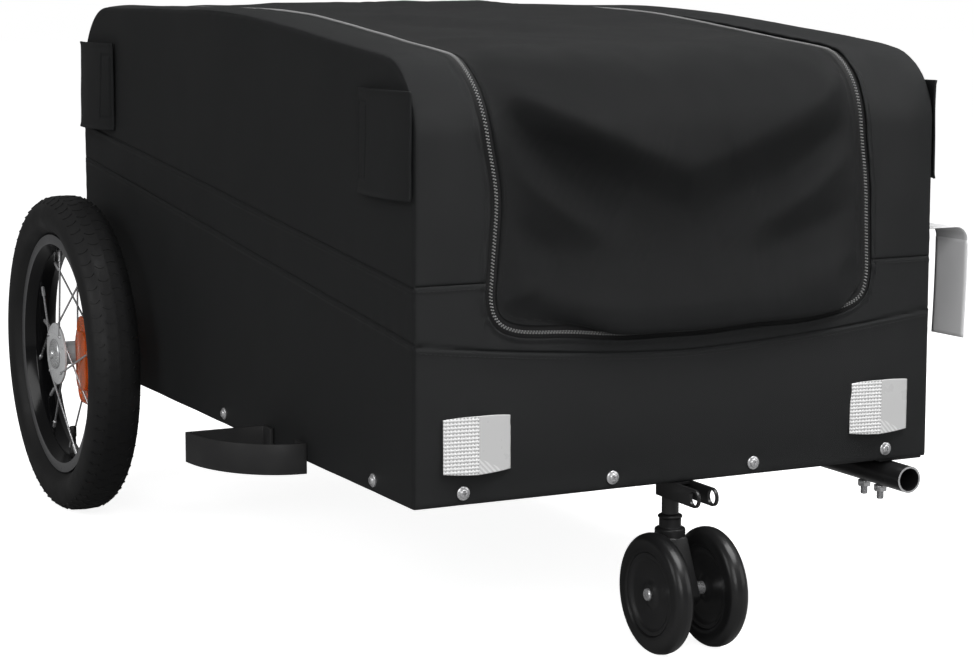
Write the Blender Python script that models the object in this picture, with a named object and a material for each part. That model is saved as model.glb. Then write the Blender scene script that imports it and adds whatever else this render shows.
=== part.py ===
"""Two-wheeled bicycle cargo trailer: steel base frame, fabric box with a zip-off cover,
quick-release wire-spoked wheels and a twin-wheel swivel caster at the front.

Metres, +Z up. The front faces -Y and the trailer's own left side is +X, so the left
wheel of the photograph's view is at -X. The origin is on the ground under the middle
of the trailer's bounding box.

Most places are given by two measures of the fabric box: how far a point lies behind the
box's front face, and how far above the box's bottom edge. at() turns them into a point.
"""
import math

import bmesh
import bpy
from mathutils import Matrix, Vector

# Driving dimensions of the fabric box
BOX_WIDTH = 0.467            # outside, at the bottom edge
BOX_LENGTH = 0.790
BOX_HEIGHT = 0.3625
EDGE_HEIGHT = 0.135          # bottom edge above the ground
SIDE_LEAN = 0.0020           # each side leans in by this much over the box's height
FRONT_CORNER_RADIUS = 0.060  # top front corner of the side profile
FRONT_CORNER_DEPTH = 0.0890  # that corner starts this far below the top
LEVEL_FROM = 0.362           # the top rises gently from the front corner to here
REAR_CORNER_RADIUS = 0.075
FABRIC = 0.0016
GAP = 0.0003                 # clearance between pieces that touch
CORNER_STEPS = 6
TUBE_SIDES = 8

# Zip and cover
BAND_WIDTH = 0.066           # fixed fabric band between the side seam and the zip
BAND_SEAM = 0.166            # the band starts at this seam on the front
ZIP_WIDTH = 0.004
ZIP_BOTTOM = 0.125           # bottom run of the zip above the edge
ZIP_CORNER_RADIUS = 0.020
COVER_CROWN = 0.005
FOLD_DEPTH = 0.0025
HINGE_LIFT = 0.002           # a folding edge turns about a line this far off the cloth

# Frame tubes
RAIL = 0.018                 # square section of the base rails
RAIL_WALL = 0.0015
TUBE_RADIUS = 0.008          # side arches and top bars
TUBE_WALL = 0.0012
SPIGOT_LENGTH = 0.030
TOP_BAR_BELOW_BEND = 0.002   # clamps end this far below the bends of the arches
TOP_BAR_SETBACK = 0.016      # bar centre behind the face of the box
CLAMP_REACH = 0.0115         # the block ends this far inside the bar's centre line
CLAMP_LENGTH = 0.030
CLAMP_BITE = 0.0016          # how far the block reaches past the leg's centre line
FLOOR_THICKNESS = 0.0035
AXLE_FROM_REAR = 0.0715      # beam and main axles, ahead of the box's rear face
TOW_BEAM_BEHIND = 0.230

# Hem screws
SCREW_HEIGHT = 0.009
SCREW_HEAD_RADIUS = 0.0053
SCREW_HEAD_HEIGHT = 0.0028
SCREW_SHANK_RADIUS = 0.0025
FRONT_SCREWS = 4
FRONT_SCREW_INSET = 0.0412   # end screws from the sides of the box
SIDE_SCREWS = 2
SIDE_SCREW_FIRST = 0.074
SIDE_SCREW_PITCH = 0.322

# Main wheels
WHEEL_RADIUS = 0.157
WHEEL_OUTBOARD = 0.0400      # wheel's middle plane outside the box's bottom edge
TYRE_HALF_WIDTH = 0.0245
TYRE_WALL = 0.0030
RIM_RADIUS = 0.1185
RIM_HALF_WIDTH = 0.0160
RIM_WALL = 0.0022
RIM_BORE_RADIUS = 0.1020
RIM_WELL = 0.0045            # thickness of the rim under the tyre
RIM_FLANK = 0.0095           # depth of the rim's upright side walls
BEAD_DEPTH = 0.0055          # of the tyre's beads inside the rim
WHEEL_SEGMENTS = 36
HUB_HALF_LENGTH = 0.018
HUB_BARREL_RADIUS = 0.0115
FLANGE_RADIUS = 0.0305
FLANGE_OFFSET = 0.0145
FLANGE_THICKNESS = 0.003
HUB_CHAMFER = 0.0015
HUB_FILLET = 0.004
SPOKES_PER_FLANGE = 8
SPOKE_RADIUS = 0.0010
SPOKE_SIDES = 4
SPOKE_HOLE_RADIUS = 0.0257
SPOKE_SWEEP = 52.0           # degrees between a spoke's hub end and its rim end
SPOKE_STAGGER = 0.0022       # leading and trailing spokes lie either side of the flange
NIPPLE_RADIUS = 0.0018
NIPPLE_LENGTH = 0.010
NIPPLE_OFFSET = 0.0028       # nipples lie this far either side of the rim's middle
SPOKE_HEAD = 0.002           # spoke past its hole in the flange
PIN_RADIUS = 0.006
PIN_PLAY = 0.0003
CAP_RADIUS = 0.0150
CAP_HEIGHT = 0.0060
BUTTON_RADIUS = 0.0055
BUTTON_PROUD = 0.0030
BUTTON_DEPTH = 0.0055
CAP_EDGE = 0.0020
SLEEVE_RADIUS = 0.010
PLATE_THICKNESS = 0.003
PLATE_LENGTH = 0.070
PLATE_HEIGHT = 0.046
PLATE_DROP = 0.004
PLATE_CORNER = 0.008
PLATE_BOLT_INSET = 0.011
BOLT_HEAD_HEIGHT = 0.0032
REFLECTOR_HEIGHT = 0.084
REFLECTOR_WIDTH = 0.048
REFLECTOR_CORNER = 0.012
REFLECTOR_RADIUS = 0.063     # centre of the spoke reflector from the axle
REFLECTOR_FLANGE = 0.0024
TRAY_HEIGHT = 0.058
TRAY_WIDTH = 0.030
TRAY_CORNER = 0.010
TRAY_DEPTH = 0.0100
TRAY_INWARD = 0.004          # the tray sits nearer the hub than its flange
CLIP_SIZE = 0.0050
CLIP_ALONG = 0.75            # where on its spoke each clip sits
CLIP_SPOKES = ((-1, 3), (1, 4))

# Wheel guards
GUARD_STRIP = 0.003
GUARD_HEIGHT = 0.0254
GUARD_TOP = 0.0156           # above the edge
GUARD_LEG_BEHIND = 0.2955
GUARD_REACH = 0.0715
GUARD_LENGTH = 0.092
GUARD_TAB = 0.016

# Tow bar socket
TOW_RADIUS = 0.011
TOW_WALL = 0.0016
TOW_INBOARD = 0.0323         # tube centre inside the box's side
TOW_REACH = 0.021
TOW_TUBE_LENGTH = 0.290
TOW_TUBE_SIDES = 14
TOW_PLATE_THICKNESS = 0.0022
TOW_PLATE_FRONT = 0.004
TOW_PLATE_MARGIN = 0.014     # plate behind the rear stud
STUD_FRONT = 0.018
STUD_PITCH = 0.0225
SADDLE_LENGTH = 0.018
SADDLE_WIDTH = 0.028
STUD_RADIUS = 0.0030
STUD_BELOW = 0.012
NUT_RADIUS = 0.0058
NUT_HEIGHT = 0.005

# Swivel caster
CASTER_RADIUS = 0.0480
CASTER_HALF_WIDTH = 0.0085
CASTER_TRACK = 0.0247        # wheel's middle plane from the swivel axis
STEM_BEHIND = 0.0204
CASTER_LEAD = 0.0208         # the wheels' axle lies this far ahead of the swivel axis
STEM_RADIUS = 0.0068
SPIGOT_RADIUS = 0.004
COLLAR_RADIUS = 0.0098
COLLAR_TOP = 0.105           # above the ground
SHOULDER_RADIUS = 0.0122
SHOULDER_TOP = 0.0945
SWIVEL_DEPTH = 0.0262        # of the bore in the swivel barrel
DISC_SHARE = 0.80            # the disc's edge and hub, as shares of the tread's width
DISH_SHARE = 0.50
CASTER_DISC_RADIUS = 0.033
CASTER_BOSS_RADIUS = 0.0085
CASTER_AXLE_RADIUS = 0.004
CASTER_SPACER_RADIUS = 0.0052
CASTER_HEAD_RADIUS = 0.0050
CASTER_HEAD_HEIGHT = 0.0022
CASTER_SEGMENTS = 24
FORK_HALF_WIDTH = 0.009
FORK_BOSS_RADIUS = 0.0125
EAR_SPACING = 0.0162
EAR_THICKNESS = 0.0026
EAR_HEIGHT = 0.0145
EAR_REACH = 0.0363
EAR_HOLE_RADIUS = 0.0055
CHANNEL_LENGTH = 0.0638

# Fabric trim
FLAP_BULGE = 0.012
FRONT_FLAP_LENGTH = 0.0945
FRONT_FLAP_BELOW_TOP = (0.134, 0.0545)   # lower and upper edge
REAR_FLAP_LENGTH = 0.1025
REAR_FLAP_BELOW_TOP = (0.1192, 0.0348)
PATCH_WIDTH = 0.0555
PATCH_HEIGHT = 0.041
PATCH_INSET = 0.0235
PATCH_BOTTOM = 0.025
PATCH_RIDGE = 0.004
PATCH_THICKNESS = 0.0012
TAG_TOP = 0.188
TAG_BEHIND = 0.004
TAG_REACH = 0.036
TAG_BEND = 0.012
TAG_RIBBON = 0.014           # from the seam's height down to the card
TAG_HEIGHT = 0.081
TAG_WIDTH = 0.040
TAG_THICKNESS = 0.0010
SLIDER_WIDTH = 0.007
SLIDER_LENGTH = 0.010
SLIDER_HEIGHT = 0.0026
SLIDER_FROM_HINGE = 0.030
BRIDGE_WIDTH = 0.0028
BRIDGE_REACH = 0.0034        # from the pull's pivot to either end of the slider's bridge
BRIDGE_THICKNESS = 0.0009
PULL_WIDTH = 0.0065
PULL_LENGTH = 0.022
PULL_THICKNESS = 0.0012

# Places that follow from the driving dimensions
FRONT_UPRIGHT = BOX_HEIGHT - FRONT_CORNER_DEPTH
FRONT_FLAP_HEIGHTS = tuple(BOX_HEIGHT - drop for drop in FRONT_FLAP_BELOW_TOP)
REAR_FLAP_HEIGHTS = tuple(BOX_HEIGHT - drop for drop in REAR_FLAP_BELOW_TOP)
AXLE_BEAM_BEHIND = BOX_LENGTH - AXLE_FROM_REAR
CASTER_AXLE_BEHIND = STEM_BEHIND - CASTER_LEAD
FRONT_REACH = max(CASTER_RADIUS - CASTER_AXLE_BEHIND, EAR_REACH, TOW_REACH)
REAR_REACH = max(BOX_LENGTH + GAP + PATCH_THICKNESS + PATCH_RIDGE,
                 AXLE_BEAM_BEHIND + WHEEL_RADIUS)
FRONT_Y = (FRONT_REACH - REAR_REACH) / 2
AXLE_ABOVE_EDGE = WHEEL_RADIUS - EDGE_HEIGHT
TOW_DROP = TOW_RADIUS + TOW_PLATE_THICKNESS + 2 * GAP
TOW_STUDS_BEHIND = (STUD_FRONT, STUD_FRONT + STUD_PITCH)
COVER_END = BOX_LENGTH - REAR_CORNER_RADIUS - GAP
WHEEL_X = BOX_WIDTH / 2 + WHEEL_OUTBOARD


def at(x, behind, above):
    """Point x across, behind the box's front face and above its bottom edge."""
    return Vector((x, FRONT_Y + behind, EDGE_HEIGHT + above))


def half_width(above):
    """Half the box's outside width at a height above its bottom edge."""
    return BOX_WIDTH / 2 - SIDE_LEAN * above / BOX_HEIGHT


# Materials and mesh helpers

def material(name, colour, roughness, metallic=0.0):
    found = bpy.data.materials.get(name)
    if found:
        return found
    made = bpy.data.materials.new(name)
    made.use_nodes = True
    shader = made.node_tree.nodes["Principled BSDF"]
    shader.inputs["Base Color"].default_value = (*colour, 1.0)
    shader.inputs["Roughness"].default_value = roughness
    shader.inputs["Metallic"].default_value = metallic
    return made


def fabric():
    return material("charcoal_fabric", (0.021, 0.022, 0.024), 0.85)


def cover_fabric():
    return material("cover_fabric", (0.026, 0.027, 0.029), 0.7)


def steel():
    return material("black_powder_coat", (0.012, 0.012, 0.013), 0.45)


def bright_steel():
    return material("zinc_steel", (0.55, 0.55, 0.56), 0.35, 1.0)


def aluminium():
    return material("bright_aluminium", (0.72, 0.73, 0.74), 0.3, 1.0)


def rubber():
    return material("tyre_rubber", (0.014, 0.014, 0.015), 0.8)


def black_plastic():
    return material("black_plastic", (0.015, 0.015, 0.016), 0.4)


def new_object(name, mesh_data, finish, origin=None, sharp=35.0):
    """Object from a bmesh given in world coordinates, with its origin where it turns."""
    bmesh.ops.recalc_face_normals(mesh_data, faces=mesh_data.faces)
    mesh = bpy.data.meshes.new(name)
    mesh_data.to_mesh(mesh)
    mesh_data.free()
    mesh.materials.append(finish)
    mesh.shade_smooth()
    mesh.set_sharp_from_angle(angle=math.radians(sharp))
    made = bpy.data.objects.new(name, mesh)
    bpy.context.scene.collection.objects.link(made)
    if origin is not None:
        mesh.transform(Matrix.Translation(-origin))
        made.location = origin
    return made


def guide(made):
    """A cutter or a joined shape, which only a modifier uses."""
    made.hide_render = True
    made.display_type = "WIRE"
    return made


def boolean(target, other, operation, overlapping=False):
    step = target.modifiers.new(operation.lower(), "BOOLEAN")
    step.operation = operation
    step.solver = "EXACT"
    step.use_self = overlapping
    step.object = guide(other)


def cut(target, cutter):
    boolean(target, cutter, "DIFFERENCE")


def fuse(target, addition, overlapping=False):
    boolean(target, addition, "UNION", overlapping)


def rings_to_faces(shape, rings, closed_rows, closed_rings):
    """Quads between neighbouring rings of vertices."""
    rows = len(rings)
    for i in range(rows if closed_rows else rows - 1):
        a, b = rings[i], rings[(i + 1) % rows]
        count = len(a)
        for j in range(count if closed_rings else count - 1):
            k = (j + 1) % count
            shape.faces.new((a[j], a[k], b[k], b[j]))


def turned(name, profile, centre, axis, finish, segments=32, origin=None, on_flats=False):
    """Lathe a closed (axial, radius) profile about an axis through centre.

    on_flats gives the radii at the middle of the facets, so that a tyre of any number of
    facets touches the ground at its true radius.
    """
    shape = bmesh.new()
    if on_flats:
        profile = [(along, radius / math.cos(math.pi / segments)) for along, radius in profile]
    turn = Vector(axis).to_track_quat("Z", "Y").to_matrix()
    poles = {}
    rings = []
    for j in range(segments):
        angle = 2 * math.pi * (j + 0.5) / segments
        ring = []
        for i, (along, radius) in enumerate(profile):
            if i in poles:
                ring.append(poles[i])
                continue
            place = turn @ Vector((radius * math.cos(angle), radius * math.sin(angle), along))
            vertex = shape.verts.new(centre + place)
            if radius == 0.0:
                poles[i] = vertex
            ring.append(vertex)
        rings.append(ring)
    open_profile = profile[0][1] == 0.0
    last = len(profile) - 1 if open_profile else len(profile)
    for j in range(segments):
        a, b = rings[j], rings[(j + 1) % segments]
        for i in range(last):
            k = (i + 1) % len(profile)
            corners = [a[i], a[k], b[k], b[i]]
            shape.faces.new(list(dict.fromkeys(corners)))
    return new_object(name, shape, finish, origin)


def swept(name, path, radius, finish, wall=0.0, sides=TUBE_SIDES, origin=None):
    """Round tube along a path of points, open at both ends when it has a wall."""
    shape = bmesh.new()
    first = (path[1] - path[0]).normalized()
    side = first.orthogonal().normalized()
    layers = [radius, radius - wall] if wall else [radius]
    rings = [[] for _ in layers]
    for i, point in enumerate(path):
        before = path[max(i - 1, 0)]
        after = path[min(i + 1, len(path) - 1)]
        way_in = (point - before).normalized() if i else (after - point).normalized()
        way_out = (after - point).normalized() if i < len(path) - 1 else way_in
        along = (way_in + way_out).normalized()
        side = (side - along * side.dot(along)).normalized()
        up = along.cross(side)
        bend = (way_out - way_in)
        stretch = 1.0 / max(0.5, math.cos(way_in.angle(way_out) / 2)) if bend.length > 1e-9 else 1.0
        across = bend.normalized() if bend.length > 1e-9 else side
        for ring, size in zip(rings, layers):
            verts = []
            for j in range(sides):
                angle = 2 * math.pi * (j + 0.5) / sides
                arm = side * math.cos(angle) + up * math.sin(angle)
                arm += across * arm.dot(across) * (stretch - 1.0)
                verts.append(shape.verts.new(point + arm * size))
            ring.append(verts)
    for ring in rings:
        rings_to_faces(shape, ring, False, True)
    for end in (0, -1):
        outer = rings[0][end]
        if wall:
            inner = rings[1][end]
            for j in range(sides):
                k = (j + 1) % sides
                shape.faces.new((outer[j], outer[k], inner[k], inner[j]))
        else:
            shape.faces.new(outer)
    return new_object(name, shape, finish, origin)


def prism(name, outline, lift, finish, place, origin=None):
    """Extrude a flat outline by lift. place turns (u, v, w) into a point."""
    shape = bmesh.new()
    low = [shape.verts.new(place(u, v, 0.0)) for u, v in outline]
    high = [shape.verts.new(place(u, v, lift)) for u, v in outline]
    shape.faces.new(low)
    shape.faces.new(high)
    rings_to_faces(shape, [low, high], False, True)
    return new_object(name, shape, finish, origin)


def box(name, corner, opposite, finish, origin=None):
    """Block between two opposite corners."""
    low = Vector(map(min, corner, opposite))
    high = Vector(map(max, corner, opposite))
    outline = [(low.x, low.y), (high.x, low.y), (high.x, high.y), (low.x, high.y)]
    return prism(name, outline, high.z - low.z, finish,
                 lambda u, v, w: Vector((u, v, low.z + w)), origin)


def cylinder(name, start, end, radius, finish, segments=16):
    return turned(name, [(0.0, 0.0), (0.0, radius), ((end - start).length, radius),
                         ((end - start).length, 0.0)],
                  start, end - start, finish, segments)


def cloth(name, outer, inner, finish, origin=None):
    """Closed sheet between two grids of points, rows by columns."""
    shape = bmesh.new()
    front = [[shape.verts.new(p) for p in row] for row in outer]
    back = [[shape.verts.new(p) for p in row] for row in inner]
    rings_to_faces(shape, front, False, False)
    rings_to_faces(shape, back, False, False)
    rings_to_faces(shape, [front[0], back[0]], False, False)
    rings_to_faces(shape, [front[-1], back[-1]], False, False)
    for column in (0, -1):
        edge_front = [row[column] for row in front]
        edge_back = [row[column] for row in back]
        rings_to_faces(shape, [edge_front, edge_back], False, False)
    return new_object(name, shape, finish, origin, sharp=50.0)


def arc(centre, radius, start, end, steps):
    """Points of an arc, angles in degrees, both ends included."""
    points = []
    for i in range(steps + 1):
        angle = math.radians(start + (end - start) * i / steps)
        points.append((centre[0] + radius * math.cos(angle), centre[1] + radius * math.sin(angle)))
    return points


def rounded_rectangle(width, height, radius, steps=3):
    points = []
    for cx, cy, start in ((1, 1, 0), (-1, 1, 90), (-1, -1, 180), (1, -1, 270)):
        centre = (cx * (width / 2 - radius), cy * (height / 2 - radius))
        points += arc(centre, radius, start, start + 90, steps)
    return points


# The side profile of the box, as (behind, above) points set in from the outside

def top_slope():
    """Angle of the rising top line, tangent to the front corner."""
    run = LEVEL_FROM - FRONT_CORNER_RADIUS
    rise = BOX_HEIGHT - FRONT_UPRIGHT
    return math.atan2(rise, run) - math.asin(FRONT_CORNER_RADIUS / math.hypot(run, rise))


def front_corner(inset, steps=CORNER_STEPS):
    centre = (FRONT_CORNER_RADIUS, FRONT_UPRIGHT)
    top = 90 + math.degrees(top_slope())
    return arc(centre, FRONT_CORNER_RADIUS - inset, 180, top, steps)


def rear_corner(inset, steps=CORNER_STEPS):
    centre = (BOX_LENGTH - REAR_CORNER_RADIUS, BOX_HEIGHT - REAR_CORNER_RADIUS)
    return arc(centre, REAR_CORNER_RADIUS - inset, 90, 0, steps)


def knee(inset):
    return LEVEL_FROM + inset * math.tan(top_slope() / 2), BOX_HEIGHT - inset


def over_the_top(inset):
    """Side profile from the bottom of the front face to the bottom of the rear face."""
    points = [(inset, 0.0)] + front_corner(inset) + [knee(inset)] + rear_corner(inset)
    return points + [(BOX_LENGTH - inset, 0.0)]


def top_line(behind, inset=0.0):
    """Height of the top between the front corner and the rear corner."""
    start = front_corner(inset)[-1]
    end = knee(inset)
    if behind >= end[0]:
        return end[1]
    share = (behind - start[0]) / (end[0] - start[0])
    return start[1] + share * (end[1] - start[1])


# Base frame

def square_tube(name, start, end, finish, wall=RAIL_WALL, size=RAIL):
    """Open square tube between two points, on its centre line."""
    along = (end - start).normalized()
    up = Vector((0, 0, 1))
    side = along.cross(up)
    shape = bmesh.new()
    rings = []
    for point in (start, end):
        pair = []
        for half in (size / 2, size / 2 - wall):
            corners = [(1, 1), (-1, 1), (-1, -1), (1, -1)]
            pair.append([shape.verts.new(point + side * half * a + up * half * b)
                         for a, b in corners])
        rings.append(pair)
    for layer in (0, 1):
        rings_to_faces(shape, [rings[0][layer], rings[1][layer]], False, True)
    for outer, inner in rings:
        rings_to_faces(shape, [outer, inner], False, True)
    return new_object(name, shape, finish)


def screw_shape(name, face, outward):
    """Hem screw with a domed washer head standing on the fabric at face."""
    depth = FABRIC + 2 * GAP + RAIL_WALL / 2
    head = SCREW_HEAD_HEIGHT
    profile = [(-depth, 0.0), (-depth, SCREW_SHANK_RADIUS), (GAP, SCREW_SHANK_RADIUS),
               (GAP, SCREW_HEAD_RADIUS), (head * 0.4, SCREW_HEAD_RADIUS),
               (head, SCREW_HEAD_RADIUS * 0.5), (head, 0.0)]
    return turned(name, profile, face, outward, bright_steel(), segments=6)


def screw_hole(name, face, outward):
    reach = 4 * FABRIC
    return cylinder(name, face - outward * reach, face + outward * reach,
                    SCREW_SHANK_RADIUS + GAP, fabric(), segments=8)


def front_screw_places(face_behind):
    span = BOX_WIDTH - 2 * FRONT_SCREW_INSET
    return [at(-span / 2 + i * span / (FRONT_SCREWS - 1), face_behind, SCREW_HEIGHT)
            for i in range(FRONT_SCREWS)]


def side_screw_places(side):
    return [at(side * half_width(SCREW_HEIGHT), SIDE_SCREW_FIRST + i * SIDE_SCREW_PITCH,
               SCREW_HEIGHT) for i in range(SIDE_SCREWS)]


def rail_face(side):
    """Outer face of a side rail, just inside the leaning fabric."""
    return side * (half_width(RAIL) - FABRIC - GAP)


def arch_x(side, above):
    return side * (half_width(above) - FABRIC - GAP - TUBE_RADIUS)


def leg_behind():
    """Centre of the arch's front and rear legs behind the front face."""
    inset = FABRIC + GAP + TUBE_RADIUS
    return inset, BOX_LENGTH - inset


def make_side_rail(side, name):
    centre_x = rail_face(side) - side * RAIL / 2
    ends = (FABRIC + GAP, BOX_LENGTH - FABRIC - GAP)
    rail = square_tube(name, at(centre_x, ends[0], RAIL / 2), at(centre_x, ends[1], RAIL / 2),
                       steel())
    outward = Vector((side, 0, 0))
    for i, face in enumerate(side_screw_places(side)):
        fuse(rail, screw_shape(f"{name}_screw_{i}", face, outward))
    lean = side * SIDE_LEAN / BOX_HEIGHT
    for i, behind in enumerate(leg_behind()):
        foot = at(arch_x(side, RAIL), behind, RAIL - RAIL_WALL / 2)
        tip = at(arch_x(side, RAIL) - lean * SPIGOT_LENGTH, behind, RAIL + SPIGOT_LENGTH)
        spigot_radius = (TUBE_RADIUS - TUBE_WALL) * math.cos(math.pi / TUBE_SIDES) - GAP
        fuse(rail, cylinder(f"{name}_spigot_{i}", foot, tip, spigot_radius, steel(), 8))
    return rail


def make_cross_rail(name, behind, face_behind=None, outward=None):
    """Square tube between the two side rails."""
    end = abs(rail_face(1)) - RAIL - GAP
    rail = square_tube(name, at(-end, behind, RAIL / 2), at(end, behind, RAIL / 2), steel())
    if outward is not None:
        for i, face in enumerate(front_screw_places(face_behind)):
            fuse(rail, screw_shape(f"{name}_screw_{i}", face, outward))
    return rail


def make_base_frame():
    inset = FABRIC + GAP + RAIL / 2
    make_side_rail(-1, "rail_right_hand")
    make_side_rail(1, "rail_left_hand")
    make_cross_rail("rail_front", inset, 0.0, Vector((0, -1, 0)))
    make_cross_rail("rail_rear", BOX_LENGTH - inset, BOX_LENGTH, Vector((0, 1, 0)))
    make_cross_rail("beam_axle", AXLE_BEAM_BEHIND)
    make_cross_rail("beam_tow", TOW_BEAM_BEHIND)


def make_floor_board():
    """Board on the rails, notched round the four arch legs."""
    half_x = half_width(RAIL) - FABRIC - 2 * GAP
    near, far = FABRIC + 2 * GAP, BOX_LENGTH - FABRIC - 2 * GAP
    notch = 2 * TUBE_RADIUS + 4 * GAP
    outline = []
    for sx, sy in ((1, 1), (-1, 1), (-1, -1), (1, -1)):
        x, y = sx * half_x, far if sy > 0 else near
        inner_x, inner_y = x - sx * notch, y - sy * notch
        if sx * sy > 0:
            outline += [(x, inner_y), (inner_x, inner_y), (inner_x, y)]
        else:
            outline += [(inner_x, y), (inner_x, inner_y), (x, inner_y)]
    prism("floor_board", outline, FLOOR_THICKNESS,
          material("floor_board", (0.03, 0.03, 0.031), 0.6),
          lambda u, v, w: at(u, v, RAIL + GAP + w))


def make_side_arch(side, name):
    """Bent tube along the side profile, pushed over the spigots of the side rail."""
    inset = FABRIC + GAP + TUBE_RADIUS
    line = over_the_top(inset)
    foot = RAIL + GAP
    line[0] = (line[0][0], foot)
    line[-1] = (line[-1][0], foot)
    path = [at(arch_x(side, above), behind, above) for behind, above in line]
    swept(name, path, TUBE_RADIUS, steel(), TUBE_WALL)


def make_top_bar(name, at_front):
    """Cross tube with a clamp block at each end that grips the arch's leg."""
    leg = leg_behind()[0 if at_front else 1]
    inward = 1 if at_front else -1
    setback = TOP_BAR_SETBACK if at_front else BOX_LENGTH - TOP_BAR_SETBACK
    bend = FRONT_UPRIGHT if at_front else BOX_HEIGHT - REAR_CORNER_RADIUS
    above = bend - TOP_BAR_BELOW_BEND - CLAMP_LENGTH / 2
    x = abs(arch_x(1, above))
    end = x - TUBE_RADIUS
    bar = swept(name, [at(-end, setback, above), at(end, setback, above)], TUBE_RADIUS,
                steel(), TUBE_WALL)
    lean = SIDE_LEAN / BOX_HEIGHT * CLAMP_LENGTH
    for side in (-1, 1):
        near = at(side * (x - CLAMP_LENGTH), leg - inward * CLAMP_BITE,
                  above - CLAMP_LENGTH / 2)
        far = at(side * (x + 2 * CLAMP_BITE), setback + inward * CLAMP_REACH,
                 above + CLAMP_LENGTH / 2)
        fuse(bar, box(f"{name}_clamp_{side}", near, far, black_plastic()))
        cut(bar, cylinder(f"{name}_bore_{side}", at(side * (x - 2 * CLAMP_LENGTH), setback, above),
                          at(side * x, setback, above), TUBE_RADIUS - TUBE_WALL * 1.5, steel(), 10))
        cut(bar, cylinder(f"{name}_bite_{side}",
                          at(side * (x + lean), leg, above - CLAMP_LENGTH),
                          at(side * (x - lean), leg, above + CLAMP_LENGTH),
                          TUBE_RADIUS + GAP, steel(), 20))
    return bar


# Fabric box

def side_holes(panel, side):
    outward = Vector((side, 0, 0))
    for i, face in enumerate(side_screw_places(side)):
        cut(panel, screw_hole(f"{panel.name}_hole_{i}", face, outward))


def make_side_panel(side, name):
    """Flat leaning panel with the whole side profile."""
    panel = prism(name, over_the_top(0.0), FABRIC, fabric(),
                  lambda u, v, w: at(side * (half_width(v) - w), u, v))
    side_holes(panel, side)
    return panel


def inner_half(above):
    """Half the width between the two side panels."""
    return half_width(above) - FABRIC - GAP


def make_front_panel():
    """Lower front with a short upright beside each leg of the zip."""
    edge = inner_half(0.0)
    zip_x = inner_half(BAND_SEAM) + FABRIC - BAND_WIDTH
    corner = ZIP_CORNER_RADIUS
    bottom = ZIP_BOTTOM - ZIP_WIDTH
    right = [(edge, 0.0), (inner_half(BAND_SEAM), BAND_SEAM), (zip_x, BAND_SEAM)]
    right += arc((zip_x - corner, bottom + corner), corner, 0, -90, 4)
    left = [(-x, z) for x, z in reversed(right)]
    panel = prism("bag_front", right + left, FABRIC, fabric(), lambda u, v, w: at(u, w, v))
    for i, face in enumerate(front_screw_places(0.0)):
        cut(panel, screw_hole(f"bag_front_hole_{i}", face, Vector((0, -1, 0))))
    return panel


def across(count, low, high):
    return [low + (high - low) * i / (count - 1) for i in range(count)]


def make_rear_panel():
    """Rear face and the rounded top corner in one piece."""
    outside = [(BOX_LENGTH, 0.0)] + rear_corner(0.0)[::-1]
    inside = [(BOX_LENGTH - FABRIC, 0.0)] + rear_corner(FABRIC)[::-1]
    columns = across(3, -1.0, 1.0)
    outer = [[at(u * inner_half(z), s, z) for u in columns] for s, z in outside]
    inner = [[at(u * inner_half(z), s, z) for u in columns] for s, z in inside]
    panel = cloth("bag_rear", outer, inner, fabric())
    for i, face in enumerate(front_screw_places(BOX_LENGTH)):
        cut(panel, screw_hole(f"bag_rear_hole_{i}", face, Vector((0, 1, 0))))
    return panel


def make_band(side, name):
    """Fixed band from the front seam over the corner and back along the top."""
    outside = [(0.0, BAND_SEAM + GAP)] + front_corner(0.0) + [knee(0.0), (COVER_END, BOX_HEIGHT)]
    inside = [(FABRIC, BAND_SEAM + GAP)] + front_corner(FABRIC)
    inside += [knee(FABRIC), (COVER_END, BOX_HEIGHT - FABRIC)]
    shares = (0.0, 0.5, 1.0)

    def row(s, z):
        edge = inner_half(z)
        return [at(side * (edge - u * (BAND_WIDTH - FABRIC)), s, z) for u in shares]

    return cloth(name, [row(*p) for p in outside], [row(*p) for p in inside], fabric())


def cover_half(above):
    return inner_half(above) + FABRIC - BAND_WIDTH - ZIP_WIDTH


def cover_swell(across_share, along_share):
    """Crown and the main soft folds of the cover, 0 at its edges."""
    edge = 1.0 - across_share ** 4
    run = math.sin(math.pi * min(1.0, max(0.0, along_share))) ** 0.5
    folds = math.sin(3.0 * across_share + 9.0 * along_share)
    return edge * (COVER_CROWN * run + FOLD_DEPTH * folds * run)


def make_cover_top():
    """Top of the cover, from the front fold to the hinge at the rear corner."""
    start = front_corner(0.0)[-1][0] + GAP
    rows = across(15, start, COVER_END)
    columns = across(13, -1.0, 1.0)
    outer, inner = [], []
    for s in rows:
        share = (s - start) / (COVER_END - start)
        z = top_line(s)
        lift = [cover_swell(u, share) for u in columns]
        outer.append([at(u * cover_half(z), s, z + h) for u, h in zip(columns, lift)])
        inner.append([at(u * cover_half(z), s, z + h - FABRIC) for u, h in zip(columns, lift)])
    hinge = at(0.0, COVER_END, BOX_HEIGHT + HINGE_LIFT)
    return cloth("cover_top", outer, inner, cover_fabric(), hinge)


def front_flap_line(inset):
    """Centre line of the front flap, from the zip's bottom run up to the fold."""
    rows = [(inset, z) for z in across(9, ZIP_BOTTOM, FRONT_UPRIGHT)]
    return rows + front_corner(inset, CORNER_STEPS)[1:]


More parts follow.
